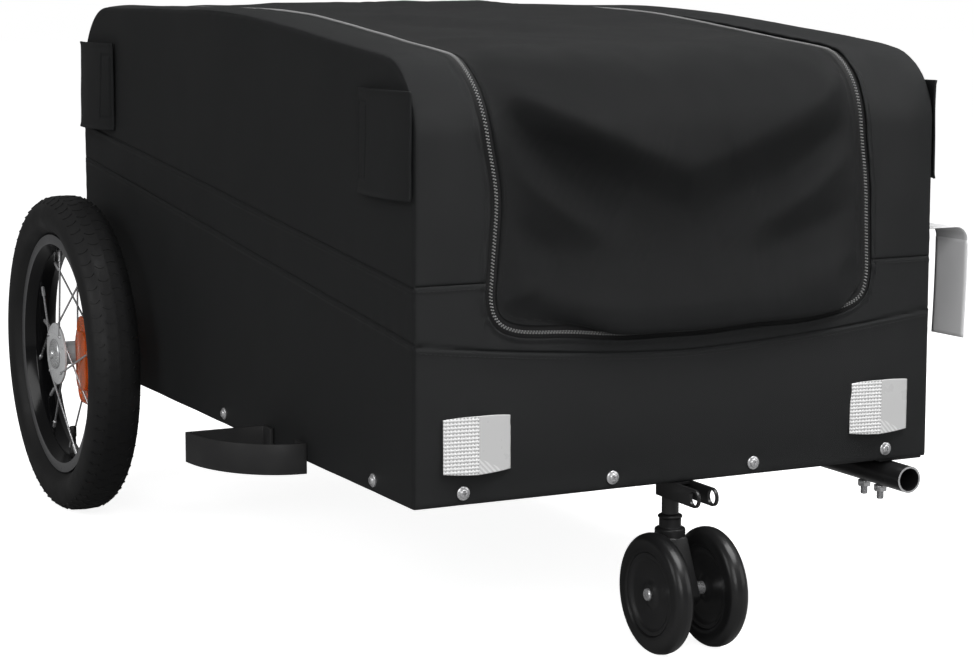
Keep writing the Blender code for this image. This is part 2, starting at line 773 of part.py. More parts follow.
def make_cover_front():
    """Front flap of the cover inside the U of the zip."""
    columns = across(13, -1.0, 1.0)
    outside, inside = front_flap_line(0.0), front_flap_line(FABRIC)
    outer, inner = [], []
    for i, (out_point, in_point) in enumerate(zip(outside, inside)):
        share = i / (len(outside) - 1)
        z = out_point[1]
        rise = z - ZIP_BOTTOM
        half = cover_half(z)
        if rise < ZIP_CORNER_RADIUS:
            short = ZIP_CORNER_RADIUS - rise
            half -= ZIP_CORNER_RADIUS - math.sqrt(max(0.0, ZIP_CORNER_RADIUS ** 2 - short ** 2))
        normal = Vector((out_point[0] - in_point[0], out_point[1] - in_point[1])).normalized()
        row_out, row_in = [], []
        for u in columns:
            push = normal * cover_swell(u, share)
            row_out.append(at(u * half, out_point[0] + push.x, z + push.y))
            row_in.append(at(u * half, in_point[0] + push.x, in_point[1] + push.y))
        outer.append(row_out)
        inner.append(row_in)
    fold = front_corner(-HINGE_LIFT)[-1]
    return cloth("cover_front", outer, inner, cover_fabric(), at(0.0, *fold))


def make_fabric_box():
    make_side_panel(-1, "bag_right_hand")
    make_side_panel(1, "bag_left_hand")
    make_front_panel()
    make_rear_panel()
    make_band(-1, "band_right_hand")
    make_band(1, "band_left_hand")
    make_cover_top()
    make_cover_front()


# Fabric trim

def make_corner_flap(name, side, hinge_behind, length, heights):
    """Hook-and-loop flap hinged at a corner seam, standing proud of the side."""
    low, high = heights
    columns = across(9, 0.0, 1.0)
    direction = 1 if length > 0 else -1
    outer, inner = [], []
    for z in across(4, low, high):
        share = (z - low) / (high - low)
        bulge = FLAP_BULGE * (1.0 - 0.4 * share)
        base = half_width(z) + GAP
        row_out, row_in = [], []
        for u in columns:
            proud = bulge * math.sin(math.pi * min(1.0, u * 1.02)) ** 0.7 if u > 0 else 0.0
            s = hinge_behind + length * u
            row_in.append(at(side * (base + proud), s, z))
            row_out.append(at(side * (base + proud + FABRIC), s, z))
        outer.append(row_out)
        inner.append(row_in)
    middle = (low + high) / 2
    seam = at(side * (half_width(middle) + GAP + FABRIC), hinge_behind - direction * GAP, middle)
    return cloth(name, outer, inner, fabric(), seam)


def make_corner_flaps():
    for side, hand in ((-1, "right_hand"), (1, "left_hand")):
        make_corner_flap(f"flap_front_{hand}", side, 2 * GAP, FRONT_FLAP_LENGTH,
                         FRONT_FLAP_HEIGHTS)
        make_corner_flap(f"flap_rear_{hand}", side, BOX_LENGTH - 2 * GAP, -REAR_FLAP_LENGTH,
                         REAR_FLAP_HEIGHTS)


def make_patch(name, side, face_behind, outward):
    """Reflective patch with a low upright ridge, sewn on the front or rear face."""
    centre = side * (BOX_WIDTH / 2 - PATCH_INSET - PATCH_WIDTH / 2)
    columns = across(5, -1.0, 1.0)
    outer, inner = [], []
    for z in (PATCH_BOTTOM, PATCH_BOTTOM + PATCH_HEIGHT):
        row_out, row_in = [], []
        for u in columns:
            ridge = PATCH_RIDGE * (1.0 - abs(u))
            x = centre + u * PATCH_WIDTH / 2
            row_in.append(at(x, face_behind + outward * GAP, z))
            row_out.append(at(x, face_behind + outward * (GAP + PATCH_THICKNESS + ridge), z))
        outer.append(row_out)
        inner.append(row_in)
    return cloth(name, outer, inner, material("reflective_patch", (0.75, 0.76, 0.78), 0.35))


def make_patches():
    for side, hand in ((-1, "right_hand"), (1, "left_hand")):
        make_patch(f"patch_front_{hand}", side, 0.0, -1)
        make_patch(f"patch_rear_{hand}", side, BOX_LENGTH, 1)


def make_tag():
    """Blank sewn-in label that stands out of the left-hand front seam and hangs down."""
    finish = material("label", (0.85, 0.85, 0.85), 0.6)
    root = half_width(TAG_TOP) + GAP
    bend = root + TAG_REACH - TAG_BEND
    outline = [(root, 0.0)] + arc((bend, -TAG_BEND), TAG_BEND, 90, 0, 4)
    outline += [(root + TAG_REACH, -TAG_RIBBON), (root + TAG_REACH - TAG_THICKNESS, -TAG_RIBBON)]
    outline += arc((bend, -TAG_BEND), TAG_BEND - TAG_THICKNESS, 0, 90, 4)
    outline += [(root, -TAG_THICKNESS)]
    tag = prism("hang_tag", outline, TAG_WIDTH, finish,
                lambda u, v, w: at(u, TAG_BEHIND + w, TAG_TOP + v))
    card_top = TAG_TOP - TAG_RIBBON + 2 * TAG_THICKNESS
    low = at(root + TAG_REACH, TAG_BEHIND - GAP, card_top - TAG_HEIGHT)
    high = at(root + TAG_REACH - TAG_THICKNESS * 1.3, TAG_BEHIND + TAG_WIDTH + GAP, card_top)
    fuse(tag, box("hang_tag_card", low + Vector((GAP, 0, 0)), high, finish))
    return tag


def make_zip_slider():
    """Slider parked near the rear end of the zip's left-hand leg, and its hinged pull.

    The pull's end bar turns under the slider's arched bridge. Both stand over the zip and the
    band only, clear of the cover that lifts beside them.
    """
    zinc = material("zip_metal", (0.4, 0.4, 0.41), 0.35, 1.0)
    low = BOX_HEIGHT + GAP
    behind = COVER_END - SLIDER_FROM_HINGE
    inner = cover_half(BOX_HEIGHT) + GAP
    middle = inner + SLIDER_WIDTH / 2
    bar = PULL_THICKNESS / 2
    room = math.hypot(bar, bar) + GAP
    hinge = at(middle, behind + SLIDER_LENGTH / 2, low + SLIDER_HEIGHT + room)
    slider = box("zip_slider", at(inner, behind, low),
                 at(inner + SLIDER_WIDTH, behind + SLIDER_LENGTH, low + SLIDER_HEIGHT), zinc)
    foot, top = -room - GAP, room + BRIDGE_THICKNESS
    under = BRIDGE_REACH - BRIDGE_THICKNESS
    arch = [(-BRIDGE_REACH, foot), (-BRIDGE_REACH, 0.0), (-under, top), (under, top),
            (BRIDGE_REACH, 0.0), (BRIDGE_REACH, foot), (under, foot), (under, 0.0),
            (under - BRIDGE_THICKNESS, room), (BRIDGE_THICKNESS - under, room), (-under, 0.0),
            (-under, foot)]
    fuse(slider, prism("zip_slider_bridge", arch, BRIDGE_WIDTH, zinc,
                       lambda u, v, w: hinge + Vector((w - BRIDGE_WIDTH / 2, u, v))))
    outline = rounded_rectangle(PULL_WIDTH, PULL_LENGTH, PULL_WIDTH / 3, 2)
    pull = prism("zip_pull", outline, PULL_THICKNESS, zinc,
                 lambda u, v, w: hinge + Vector((u, v + bar - PULL_LENGTH / 2, w - bar)), hinge)
    half_eye = BRIDGE_WIDTH / 2 + GAP
    eye_end = math.hypot(BRIDGE_REACH, room) + GAP
    cut(pull, box("zip_pull_eye", hinge + Vector((-half_eye, -eye_end, -PULL_LENGTH)),
                  hinge + Vector((half_eye, -bar, PULL_LENGTH)), zinc))
    return slider, pull


# Wheels

def rim_profile():
    half, wall = RIM_HALF_WIDTH, RIM_WALL
    outer = RIM_RADIUS
    well = RIM_BORE_RADIUS + RIM_WELL
    seat = outer - BEAD_DEPTH - wall / 2
    right = [(half * 0.35, well), (half - wall, seat), (half - wall, outer),
             (half, outer), (half, outer - RIM_FLANK), (half * 0.40, RIM_BORE_RADIUS)]
    left = [(-x, r) for x, r in reversed(right)]
    return right + left


def tyre_profile():
    """Open casing: beads inside the rim's walls, shoulders and a rounded tread."""
    bead = RIM_HALF_WIDTH - RIM_WALL - GAP
    inside = bead - TYRE_WALL * 0.8
    w, top = TYRE_HALF_WIDTH, WHEEL_RADIUS
    foot = RIM_RADIUS - BEAD_DEPTH
    section = top - RIM_RADIUS
    outer = [(bead, foot), (bead, RIM_RADIUS + 2 * GAP), (w * 0.92, RIM_RADIUS + section * 0.22),
             (w, RIM_RADIUS + section * 0.50), (w * 0.90, RIM_RADIUS + section * 0.78),
             (w * 0.55, RIM_RADIUS + section * 0.96), (0.0, top)]
    wall = TYRE_WALL
    inner = [(w * 0.50, top - wall * 1.7), (w - wall * 1.1, RIM_RADIUS + section * 0.45),
             (inside, RIM_RADIUS + wall * 0.6), (inside, foot)]
    left_outer = [(-x, r) for x, r in reversed(outer[:-1])]
    left_inner = [(-x, r) for x, r in reversed(inner)]
    return outer + left_outer + left_inner + inner


def hub_profile():
    half, barrel = HUB_HALF_LENGTH, HUB_BARREL_RADIUS
    bore = PIN_RADIUS + PIN_PLAY
    end = barrel * 0.95
    inner_face = FLANGE_OFFSET - FLANGE_THICKNESS / 2
    outer_face = FLANGE_OFFSET + FLANGE_THICKNESS / 2
    right = [(inner_face - HUB_FILLET, barrel), (inner_face, barrel + HUB_FILLET),
             (inner_face, FLANGE_RADIUS), (outer_face, FLANGE_RADIUS),
             (outer_face, end + HUB_CHAMFER), (half - HUB_CHAMFER, end),
             (half, end - HUB_CHAMFER / 3), (half, bore)]
    left = [(-x, r) for x, r in reversed(right)]
    return right + left


def spoke_path(index, flange, centre):
    """Hub end and rim end of one spoke. Leading and trailing spokes cross."""
    pitch = 360.0 / SPOKES_PER_FLANGE
    rim_angle = (index + (0.25 if flange > 0 else 0.75)) * pitch
    lead = 1 if index % 2 else -1
    hub_angle = rim_angle + lead * SPOKE_SWEEP
    stagger = SPOKE_STAGGER * lead
    end_radius = RIM_BORE_RADIUS - NIPPLE_RADIUS / 3 - GAP

    def on_circle(x, radius, angle):
        turn = math.radians(angle)
        return centre + Vector((x, radius * math.cos(turn), radius * math.sin(turn)))

    start = on_circle(flange * (FLANGE_OFFSET + stagger), SPOKE_HOLE_RADIUS, hub_angle)
    end = on_circle(flange * NIPPLE_OFFSET, end_radius, rim_angle)
    return start, end


def make_hub_and_spokes(name, centre):
    """Flanged hub laced to the rim: one body of hub, crossed spokes and nipples."""
    hub = turned(name, hub_profile(), centre, (1, 0, 0), aluminium(), 16, centre)
    spokes = bmesh.new()
    for flange in (-1, 1):
        for index in range(SPOKES_PER_FLANGE):
            start, end = spoke_path(index, flange, centre)
            along = (end - start).normalized()
            side = along.orthogonal().normalized()
            up = along.cross(side)
            length = (end - start).length
            shoulder = length - NIPPLE_LENGTH
            stations = [(-SPOKE_HEAD, SPOKE_RADIUS), (shoulder, SPOKE_RADIUS),
                        (shoulder + NIPPLE_RADIUS / 3, NIPPLE_RADIUS), (length, NIPPLE_RADIUS)]
            rings = []
            for along_by, radius in stations:
                ring = []
                for j in range(SPOKE_SIDES):
                    angle = 2 * math.pi * j / SPOKE_SIDES
                    arm = side * math.cos(angle) + up * math.sin(angle)
                    ring.append(spokes.verts.new(start + along * along_by + arm * radius))
                rings.append(ring)
            rings_to_faces(spokes, rings, False, True)
            spokes.faces.new(rings[0])
            spokes.faces.new(rings[-1])
    fuse(hub, new_object(f"{name}_wires", spokes, aluminium()))
    return hub


def make_spoke_reflector(name, centre):
    """Oblong reflector between the two sets of spokes, clipped to one spoke of each set."""
    finish = material("amber_lens", (0.75, 0.16, 0.02), 0.15)
    middle = centre + Vector((0, -REFLECTOR_RADIUS, 0))
    flange = rounded_rectangle(REFLECTOR_WIDTH, REFLECTOR_HEIGHT, REFLECTOR_CORNER, 4)
    plate = prism(name, flange, REFLECTOR_FLANGE, finish,
                  lambda u, v, w: middle + Vector((w - REFLECTOR_FLANGE / 2, u, v)), centre)
    tray = rounded_rectangle(TRAY_WIDTH, TRAY_HEIGHT, TRAY_CORNER, 4)
    shape = bmesh.new()
    rings = []
    for shrink, depth in ((0.86, -0.5), (1.0, -0.34), (1.0, 0.34), (0.86, 0.5)):
        rings.append([shape.verts.new(middle + Vector((depth * TRAY_DEPTH,
                                                       u * shrink + TRAY_INWARD, v * shrink)))
                      for u, v in tray])
    rings_to_faces(shape, rings, False, True)
    shape.faces.new(rings[0])
    shape.faces.new(rings[-1])
    fuse(plate, new_object(f"{name}_tray", shape, finish))
    for flange_side, index in CLIP_SPOKES:
        start, end = spoke_path(index, flange_side, centre)
        grip = start.lerp(end, CLIP_ALONG)
        half = CLIP_SIZE / 2
        foot = Vector((middle.x, grip.y - half, grip.z - half))
        tip = grip + Vector((flange_side * half, half, half))
        fuse(plate, box(f"{name}_clip_{index}", foot, tip, finish))
        cut(plate, cylinder(f"{name}_groove_{index}", start, end, SPOKE_RADIUS + 2 * GAP,
                            finish, 8))
    return plate


def make_wheel(side, hand):
    """Tyre, rim, laced hub, reflector, quick-release pin and its button."""
    centre = Vector((side * WHEEL_X, FRONT_Y + AXLE_BEAM_BEHIND, WHEEL_RADIUS))
    outward = (side, 0, 0)
    turned(f"tyre_{hand}", tyre_profile(), centre, outward, rubber(), WHEEL_SEGMENTS,
           centre, True)
    turned(f"rim_{hand}", rim_profile(), centre, outward, aluminium(), WHEEL_SEGMENTS,
           centre, True)
    make_hub_and_spokes(f"hub_and_spokes_{hand}", centre)
    make_spoke_reflector(f"spoke_reflector_{hand}", centre)
    make_axle_pin(f"axle_pin_{hand}", f"release_button_{hand}", centre, side)


def make_axle_pin(pin_name, button_name, centre, side):
    """Plug-in axle pin with a domed cap, and the spring button in its end."""
    outward = Vector((side, 0, 0))
    inner_end = -(WHEEL_OUTBOARD - FABRIC)
    face = HUB_HALF_LENGTH + GAP
    top = face + CAP_HEIGHT
    bore = BUTTON_RADIUS + GAP
    floor = top - BUTTON_DEPTH
    point = PIN_RADIUS / 3
    dome = (CAP_HEIGHT - CAP_EDGE) * 0.6
    profile = [(inner_end, 0.0), (inner_end, PIN_RADIUS - point), (inner_end + point, PIN_RADIUS),
               (face, PIN_RADIUS), (face, CAP_RADIUS), (face + CAP_EDGE, CAP_RADIUS),
               (face + CAP_EDGE + dome, CAP_RADIUS * 0.72), (top, CAP_RADIUS * 0.50), (top, bore),
               (floor, bore), (floor, 0.0)]
    turned(pin_name, profile, centre, outward, material("chrome", (0.8, 0.8, 0.81), 0.1, 1.0),
           16, centre)
    travel = BUTTON_PROUD + GAP
    low = floor + travel
    high = top + BUTTON_PROUD
    button = [(low, 0.0), (low, BUTTON_RADIUS), (high - BUTTON_RADIUS * 0.2, BUTTON_RADIUS),
              (high, BUTTON_RADIUS * 0.8), (high, 0.0)]
    turned(button_name, button, centre, outward, bright_steel(), 16, centre)


def make_axle_plate(side, name):
    """Plate screwed to the side rail through the hem, with the sleeve for the axle pin."""
    face = half_width(0.0) + GAP
    low = -PLATE_DROP
    outline = rounded_rectangle(PLATE_LENGTH, PLATE_HEIGHT, PLATE_CORNER, 3)
    middle = low + PLATE_HEIGHT / 2
    plate = prism(name, outline, PLATE_THICKNESS, steel(),
                  lambda u, v, w: at(side * (face + w), AXLE_BEAM_BEHIND + u, middle + v))
    start = at(side * (face + PLATE_THICKNESS / 2), AXLE_BEAM_BEHIND, AXLE_ABOVE_EDGE)
    end = at(side * (WHEEL_X - HUB_HALF_LENGTH - GAP), AXLE_BEAM_BEHIND, AXLE_ABOVE_EDGE)
    fuse(plate, cylinder(f"{name}_sleeve", start, end, SLEEVE_RADIUS, steel(), 16))
    outward = Vector((side, 0, 0))
    for i, shift in enumerate((-1, 1)):
        spot = at(side * (face + PLATE_THICKNESS / 2),
                  AXLE_BEAM_BEHIND + shift * (PLATE_LENGTH / 2 - PLATE_BOLT_INSET), SCREW_HEIGHT)
        head = cylinder(f"{name}_head_{i}", spot,
                        spot + outward * (PLATE_THICKNESS / 2 + BOLT_HEAD_HEIGHT),
                        SCREW_HEAD_RADIUS, steel(), 6)
        fuse(plate, head)
    bore_start = at(side * (face - PLATE_THICKNESS), AXLE_BEAM_BEHIND, AXLE_ABOVE_EDGE)
    bore_end = end + outward * PLATE_THICKNESS
    cut(plate, cylinder(f"{name}_bore", bore_start, bore_end, PIN_RADIUS + PIN_PLAY, steel(), 16))
    return plate


# Wheel guards

def make_wheel_guard(side, name):
    """Flat strip bent into a D in front of the wheel, with a screw tab at each end."""
    root = half_width(0.0) + GAP
    back, front = GUARD_LEG_BEHIND, GUARD_LEG_BEHIND - GUARD_LENGTH
    thick = GUARD_STRIP

    def bow(inset):
        """Quarter oval from the outer end of the straight leg to the front tab."""
        length, reach = GUARD_LENGTH - 2 * inset, GUARD_REACH - inset
        return [(back - inset - length * along, root + reach * out)
                for out, along in arc((0.0, 0.0), 1.0, 0, 90, 10)]

    inner_bow = [p for p in bow(thick) if p[1] > root + thick * 1.3]
    outline = [(back, root)] + bow(0.0)
    outline += [(front + thick + GUARD_TAB, root), (front + thick + GUARD_TAB, root + thick)]
    outline += inner_bow[::-1]
    outline += [(back - thick, root + thick), (back - thick - GUARD_TAB, root + thick),
                (back - thick - GUARD_TAB, root)]
    return prism(name, outline, GUARD_HEIGHT, material("guard", (0.02, 0.02, 0.021), 0.55),
                 lambda u, v, w: at(side * v, u, GUARD_TOP - GUARD_HEIGHT + w))


# Tow bar socket

def make_tow_socket():
    """Open tube under the left rail for the tow bar, hung on a plate with two studs."""
    x = BOX_WIDTH / 2 - TOW_INBOARD
    start, end = at(x, -TOW_REACH, -TOW_DROP), at(x, TOW_TUBE_LENGTH - TOW_REACH, -TOW_DROP)
    tube = swept("tow_tube", [start, end], TOW_RADIUS, steel(), TOW_WALL, TOW_TUBE_SIDES)
    plate_top = -GAP
    plate_low = plate_top - TOW_PLATE_THICKNESS
    plate = box("tow_plate", at(x - TOW_RADIUS, TOW_PLATE_FRONT, plate_low),
                at(abs(rail_face(1)) - GAP, TOW_STUDS_BEHIND[-1] + TOW_PLATE_MARGIN, plate_top),
                steel())
    under = -TOW_DROP - TOW_RADIUS
    for place, behind in zip(("front", "rear"), TOW_STUDS_BEHIND):
        tip = at(x, behind, under - STUD_BELOW)
        below, above = at(x, behind, under - 2 * STUD_BELOW), at(x, behind, 0.0)
        root = at(x, behind, plate_low + TOW_PLATE_THICKNESS / 2)
        fuse(plate, cylinder(f"tow_stud_{place}", tip, root, STUD_RADIUS, bright_steel(), 10))
        clear = STUD_RADIUS + GAP
        cut(tube, cylinder(f"tow_hole_{place}", below, above, clear, steel(), 10))
        nut = prism(f"tow_nut_{place}", arc((0.0, 0.0), NUT_RADIUS, 0, 300, 5), NUT_HEIGHT,
                    bright_steel(),
                    lambda u, v, w, b=behind: at(x + u, b + v, under - GAP - NUT_HEIGHT + w))
        cut(nut, cylinder(f"tow_thread_{place}", below, above, clear, steel(), 10))
    saddle = box("tow_saddle",
                 at(abs(rail_face(1)) - GAP - SADDLE_WIDTH, TOW_BEAM_BEHIND - SADDLE_LENGTH / 2,
                    -TOW_DROP),
                 at(abs(rail_face(1)) - GAP, TOW_BEAM_BEHIND + SADDLE_LENGTH / 2, -GAP), steel())
    cut(saddle, cylinder("tow_saddle_seat", at(x, TOW_BEAM_BEHIND - SADDLE_LENGTH, -TOW_DROP),
                         at(x, TOW_BEAM_BEHIND + SADDLE_LENGTH, -TOW_DROP), TOW_RADIUS + GAP,
                         steel(), TOW_TUBE_SIDES))


# Swivel caster

def stem_point(height):
    return Vector((0.0, FRONT_Y + STEM_BEHIND, height))


def caster_centre():
    return Vector((0.0, FRONT_Y + CASTER_AXLE_BEHIND, CASTER_RADIUS))


def make_caster_bracket():
    """Channel under the front rail with two forward ears, each with a cross hole."""
    top = -GAP
    low = top - EAR_HEIGHT
    middle = (top + low) / 2
    radius = EAR_HEIGHT / 2
    nose = -EAR_REACH + radius
    tail = CHANNEL_LENGTH - EAR_REACH
    outline = arc((nose, middle), radius, 90, 270, 8) + [(tail, low), (tail, top)]
    outer = EAR_SPACING / 2 + EAR_THICKNESS / 2

    def ear(name, x):
        return prism(name, outline, EAR_THICKNESS, steel(),
                     lambda u, v, w: at(x + w, u, v))

    bracket = ear("caster_bracket", -outer)
    fuse(bracket, ear("caster_bracket_ear", outer - EAR_THICKNESS))
    web = box("caster_bracket_web",
              at(-outer + EAR_THICKNESS / 2, FABRIC + GAP, top - EAR_THICKNESS),
              at(outer - EAR_THICKNESS / 2, tail - EAR_THICKNESS / 2, top - GAP / 2), steel())
    fuse(bracket, web)
    cut(bracket, cylinder("caster_bracket_hole", at(-EAR_SPACING, nose, middle),
                          at(EAR_SPACING, nose, middle), EAR_HOLE_RADIUS, steel(), 16))
    return bracket


def make_caster_stem():
    """Post that hangs from the channel and carries the swivel on its spigot."""
    top = EDGE_HEIGHT - GAP - EAR_THICKNESS - GAP
    low = COLLAR_TOP + GAP
    tip = COLLAR_TOP - SWIVEL_DEPTH + GAP
    profile = [(tip, 0.0), (tip, SPIGOT_RADIUS), (low, SPIGOT_RADIUS), (low, STEM_RADIUS),
               (top, STEM_RADIUS), (top, 0.0)]
    return turned("caster_stem", profile, stem_point(0.0), (0, 0, 1), steel(), 20)


def fork_outline():
    """Side view of the fork, (behind, height above the ground), round the axle."""
    rear = STEM_BEHIND + SHOULDER_RADIUS - 2 * GAP
    front = STEM_BEHIND - SHOULDER_RADIUS + 2 * GAP
    top = SHOULDER_TOP - SHOULDER_RADIUS / 2
    lower = arc((CASTER_AXLE_BEHIND, CASTER_RADIUS), FORK_BOSS_RADIUS, 195, 365, 8)
    return [(front, top)] + lower + [(rear, CASTER_RADIUS + FORK_BOSS_RADIUS), (rear, top)]


def make_caster_fork():
    """Swivel barrel with its shoulder, and the body between the two wheels."""
    swivel = stem_point(0.0)
    bore = SPIGOT_RADIUS + GAP
    floor = COLLAR_TOP - SWIVEL_DEPTH
    bottom = floor - COLLAR_RADIUS / 2
    lip = COLLAR_RADIUS * 0.1
    profile = [(bottom, 0.0), (bottom, COLLAR_RADIUS),
               (SHOULDER_TOP - SHOULDER_RADIUS * 0.6, SHOULDER_RADIUS),
               (SHOULDER_TOP - lip, SHOULDER_RADIUS), (SHOULDER_TOP, SHOULDER_RADIUS - lip),
               (SHOULDER_TOP, COLLAR_RADIUS - lip), (COLLAR_TOP - 3 * lip, COLLAR_RADIUS - lip),
               (COLLAR_TOP - 2 * lip, COLLAR_RADIUS), (COLLAR_TOP, COLLAR_RADIUS - lip),
               (COLLAR_TOP, bore), (floor, bore), (floor, 0.0)]
    fork = turned("caster_fork", profile, swivel, (0, 0, 1), black_plastic(), 20,
                  caster_swivel_origin())
    body = prism("caster_fork_body", fork_outline(), 2 * FORK_HALF_WIDTH, black_plastic(),
                 lambda u, v, w: Vector((w - FORK_HALF_WIDTH, FRONT_Y + u, v)))
    fuse(fork, body)
    through = Vector((2 * FORK_HALF_WIDTH, 0, 0))
    cut(fork, cylinder("caster_fork_hole", caster_centre() - through, caster_centre() + through,
                       CASTER_AXLE_RADIUS + GAP, black_plastic(), 16))
    cut(fork, cylinder("caster_fork_bore", stem_point(floor), stem_point(COLLAR_TOP + bore), bore,
                       black_plastic(), 20))
    return fork


def caster_swivel_origin():
    return stem_point(CASTER_RADIUS)


def make_caster_wheel(side, hand):
    """Dished disc with its hub, and the rounded tread round it."""
    centre = caster_centre() + Vector((side * CASTER_TRACK, 0, 0))
    half, rim = CASTER_HALF_WIDTH, CASTER_DISC_RADIUS
    bore = CASTER_AXLE_RADIUS + GAP
    hub, dish = half * DISC_SHARE, half * DISH_SHARE
    disc = [(hub, bore), (hub, CASTER_BOSS_RADIUS), (dish, CASTER_BOSS_RADIUS + hub - dish),
            (dish, rim - 2 * (hub - dish)), (hub, rim - GAP)]
    disc += [(-x, r) for x, r in reversed(disc)]
    turned(f"caster_disc_{hand}", disc, centre, (1, 0, 0), black_plastic(), CASTER_SEGMENTS,
           centre, True)
    top = CASTER_RADIUS
    depth = top - rim
    tread = [(hub, rim), (half, rim + depth * 0.26), (half * 0.92, rim + depth * 0.71),
             (half * 0.5, rim + depth * 0.94), (0.0, top)]
    tread += [(-x, r) for x, r in reversed(tread[:-1])]
    turned(f"caster_tyre_{hand}", tread, centre, (1, 0, 0), rubber(), CASTER_SEGMENTS,
           centre, True)


def make_caster_axle():
    """Axle through both wheels and the fork, with spacers and a round head at each end."""
    hub = CASTER_HALF_WIDTH * DISC_SHARE
    head = CASTER_TRACK + hub + GAP
    spacer = (FORK_HALF_WIDTH + GAP, CASTER_TRACK - hub - GAP)
    shaft = CASTER_AXLE_RADIUS
    profile = [(spacer[0], shaft), (spacer[0], CASTER_SPACER_RADIUS),
               (spacer[1], CASTER_SPACER_RADIUS), (spacer[1], shaft), (head, shaft),
               (head, CASTER_HEAD_RADIUS), (head + CASTER_HEAD_HEIGHT / 2, CASTER_HEAD_RADIUS),
               (head + CASTER_HEAD_HEIGHT, CASTER_HEAD_RADIUS * 0.8),
               (head + CASTER_HEAD_HEIGHT, 0.0)]
    profile = [(-x, r) for x, r in reversed(profile)] + profile
    return turned("caster_axle", profile, caster_centre(), (1, 0, 0), bright_steel(), 12)


def make_caster():
    make_caster_bracket()
    make_caster_stem()
    make_caster_fork()
    make_caster_axle()
    make_caster_wheel(-1, "right_hand")
    make_caster_wheel(1, "left_hand")


def build():
    for stale in list(bpy.data.objects):
        bpy.data.objects.remove(stale, do_unlink=True)
    make_base_frame()
    make_floor_board()
    make_side_arch(-1, "arch_right_hand")
    make_side_arch(1, "arch_left_hand")
    make_top_bar("top_bar_front", True)
    make_top_bar("top_bar_rear", False)
    make_fabric_box()
    make_corner_flaps()
    make_patches()
    make_tag()
    make_zip_slider()
    for side, hand in ((-1, "right_hand"), (1, "left_hand")):
        make_wheel(side, hand)
        make_axle_plate(side, f"axle_plate_{hand}")
        make_wheel_guard(side, f"wheel_guard_{hand}")
    make_tow_socket()
    make_caster()


build()
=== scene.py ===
import math

import bmesh
import bpy
import numpy as np
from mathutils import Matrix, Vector, noise


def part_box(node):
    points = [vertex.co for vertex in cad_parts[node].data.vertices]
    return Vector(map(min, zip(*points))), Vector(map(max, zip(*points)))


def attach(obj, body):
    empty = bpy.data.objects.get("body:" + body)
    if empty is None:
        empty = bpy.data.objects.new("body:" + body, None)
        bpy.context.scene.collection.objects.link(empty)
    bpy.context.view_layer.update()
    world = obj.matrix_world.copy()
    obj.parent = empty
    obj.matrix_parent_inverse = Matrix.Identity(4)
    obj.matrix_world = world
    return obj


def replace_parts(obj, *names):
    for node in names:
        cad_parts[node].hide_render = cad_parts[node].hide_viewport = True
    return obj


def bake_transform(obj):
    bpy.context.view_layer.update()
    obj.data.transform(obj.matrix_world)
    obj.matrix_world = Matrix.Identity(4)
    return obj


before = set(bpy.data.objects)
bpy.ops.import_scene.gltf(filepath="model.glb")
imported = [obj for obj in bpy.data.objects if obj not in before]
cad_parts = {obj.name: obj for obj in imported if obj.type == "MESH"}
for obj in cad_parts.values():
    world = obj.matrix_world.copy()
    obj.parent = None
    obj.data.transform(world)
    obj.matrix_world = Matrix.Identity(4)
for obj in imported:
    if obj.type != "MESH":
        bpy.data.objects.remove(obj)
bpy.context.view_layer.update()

# Measures of the box in metres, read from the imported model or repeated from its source
FRONT_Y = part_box("bag_front")[0].y
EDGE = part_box("bag_right_hand")[0].z
BOX_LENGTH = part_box("bag_rear")[1].y - FRONT_Y
BOX_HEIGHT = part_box("bag_right_hand")[1].z - EDGE
BOX_HALF = -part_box("bag_right_hand")[0].x
SIDE_LEAN = 0.0020             # how much narrower the box is at the top, on each side
FRONT_RADIUS = 0.060
FRONT_UPRIGHT = BOX_HEIGHT - 0.0890
LEVEL_FROM = 0.362             # where the sloping top turns level, behind the front
REAR_RADIUS = 0.075
CLOTH = 0.0016
GAP = 0.0003
SEWN_IN = 0.0009               # how far a panel ends short of a corner seam
BAND_SEAM = 0.166              # height of the seam between the front panel and the bands
COVER_END = BOX_LENGTH - REAR_RADIUS - GAP
SCREW_ABOVE = 0.009
STITCH_PITCH = 0.004
ZIP_PITCH = 0.0025
RAIL = 0.018                   # outside size of the square rails
TUBE_RADIUS = 0.008            # arches and cross bars
TUBE_WALL = 0.0012
HANDS = ((-1, "right_hand"), (1, "left_hand"))


def at(x, behind, above):
    """Point x across, behind the box's front face and above its bottom edge."""
    return Vector((x, FRONT_Y + behind, EDGE + above))


def half_width(above):
    return BOX_HALF - SIDE_LEAN * above / BOX_HEIGHT


# Finishes

def add_node(tree, kind, values=None, **settings):
    """A node with its settings, and its inputs set to values or joined to sockets."""
    made = tree.nodes.new(kind)
    for key, value in settings.items():
        setattr(made, key, value)
    for key, value in (values or {}).items():
        if isinstance(value, bpy.types.NodeSocket):
            tree.links.new(value, made.inputs[key])
        else:
            made.inputs[key].default_value = value
    return made


def add(tree, kind, values=None, **settings):
    return add_node(tree, "ShaderNode" + kind, values, **settings)


def new_finish(name, colour, roughness, **sockets):
    """A material with its Principled shader's plain values set."""
    made = bpy.data.materials.new(name)
    made.use_nodes = True
    shader = made.node_tree.nodes["Principled BSDF"]
    shader.inputs["Base Color"].default_value = (*colour, 1.0)
    shader.inputs["Roughness"].default_value = roughness
    for key, value in sockets.items():
        shader.inputs[key.replace("_", " ")].default_value = value
    return made, made.node_tree, shader


def feed(tree, shader, colour, roughness=None):
    tree.links.new(colour, shader.inputs["Base Color"])
    if roughness is not None:
        tree.links.new(roughness, shader.inputs["Roughness"])


def maths(tree, operation, a, b=0.0):
    return add(tree, "Math", {0: a, 1: b}, operation=operation).outputs[0]


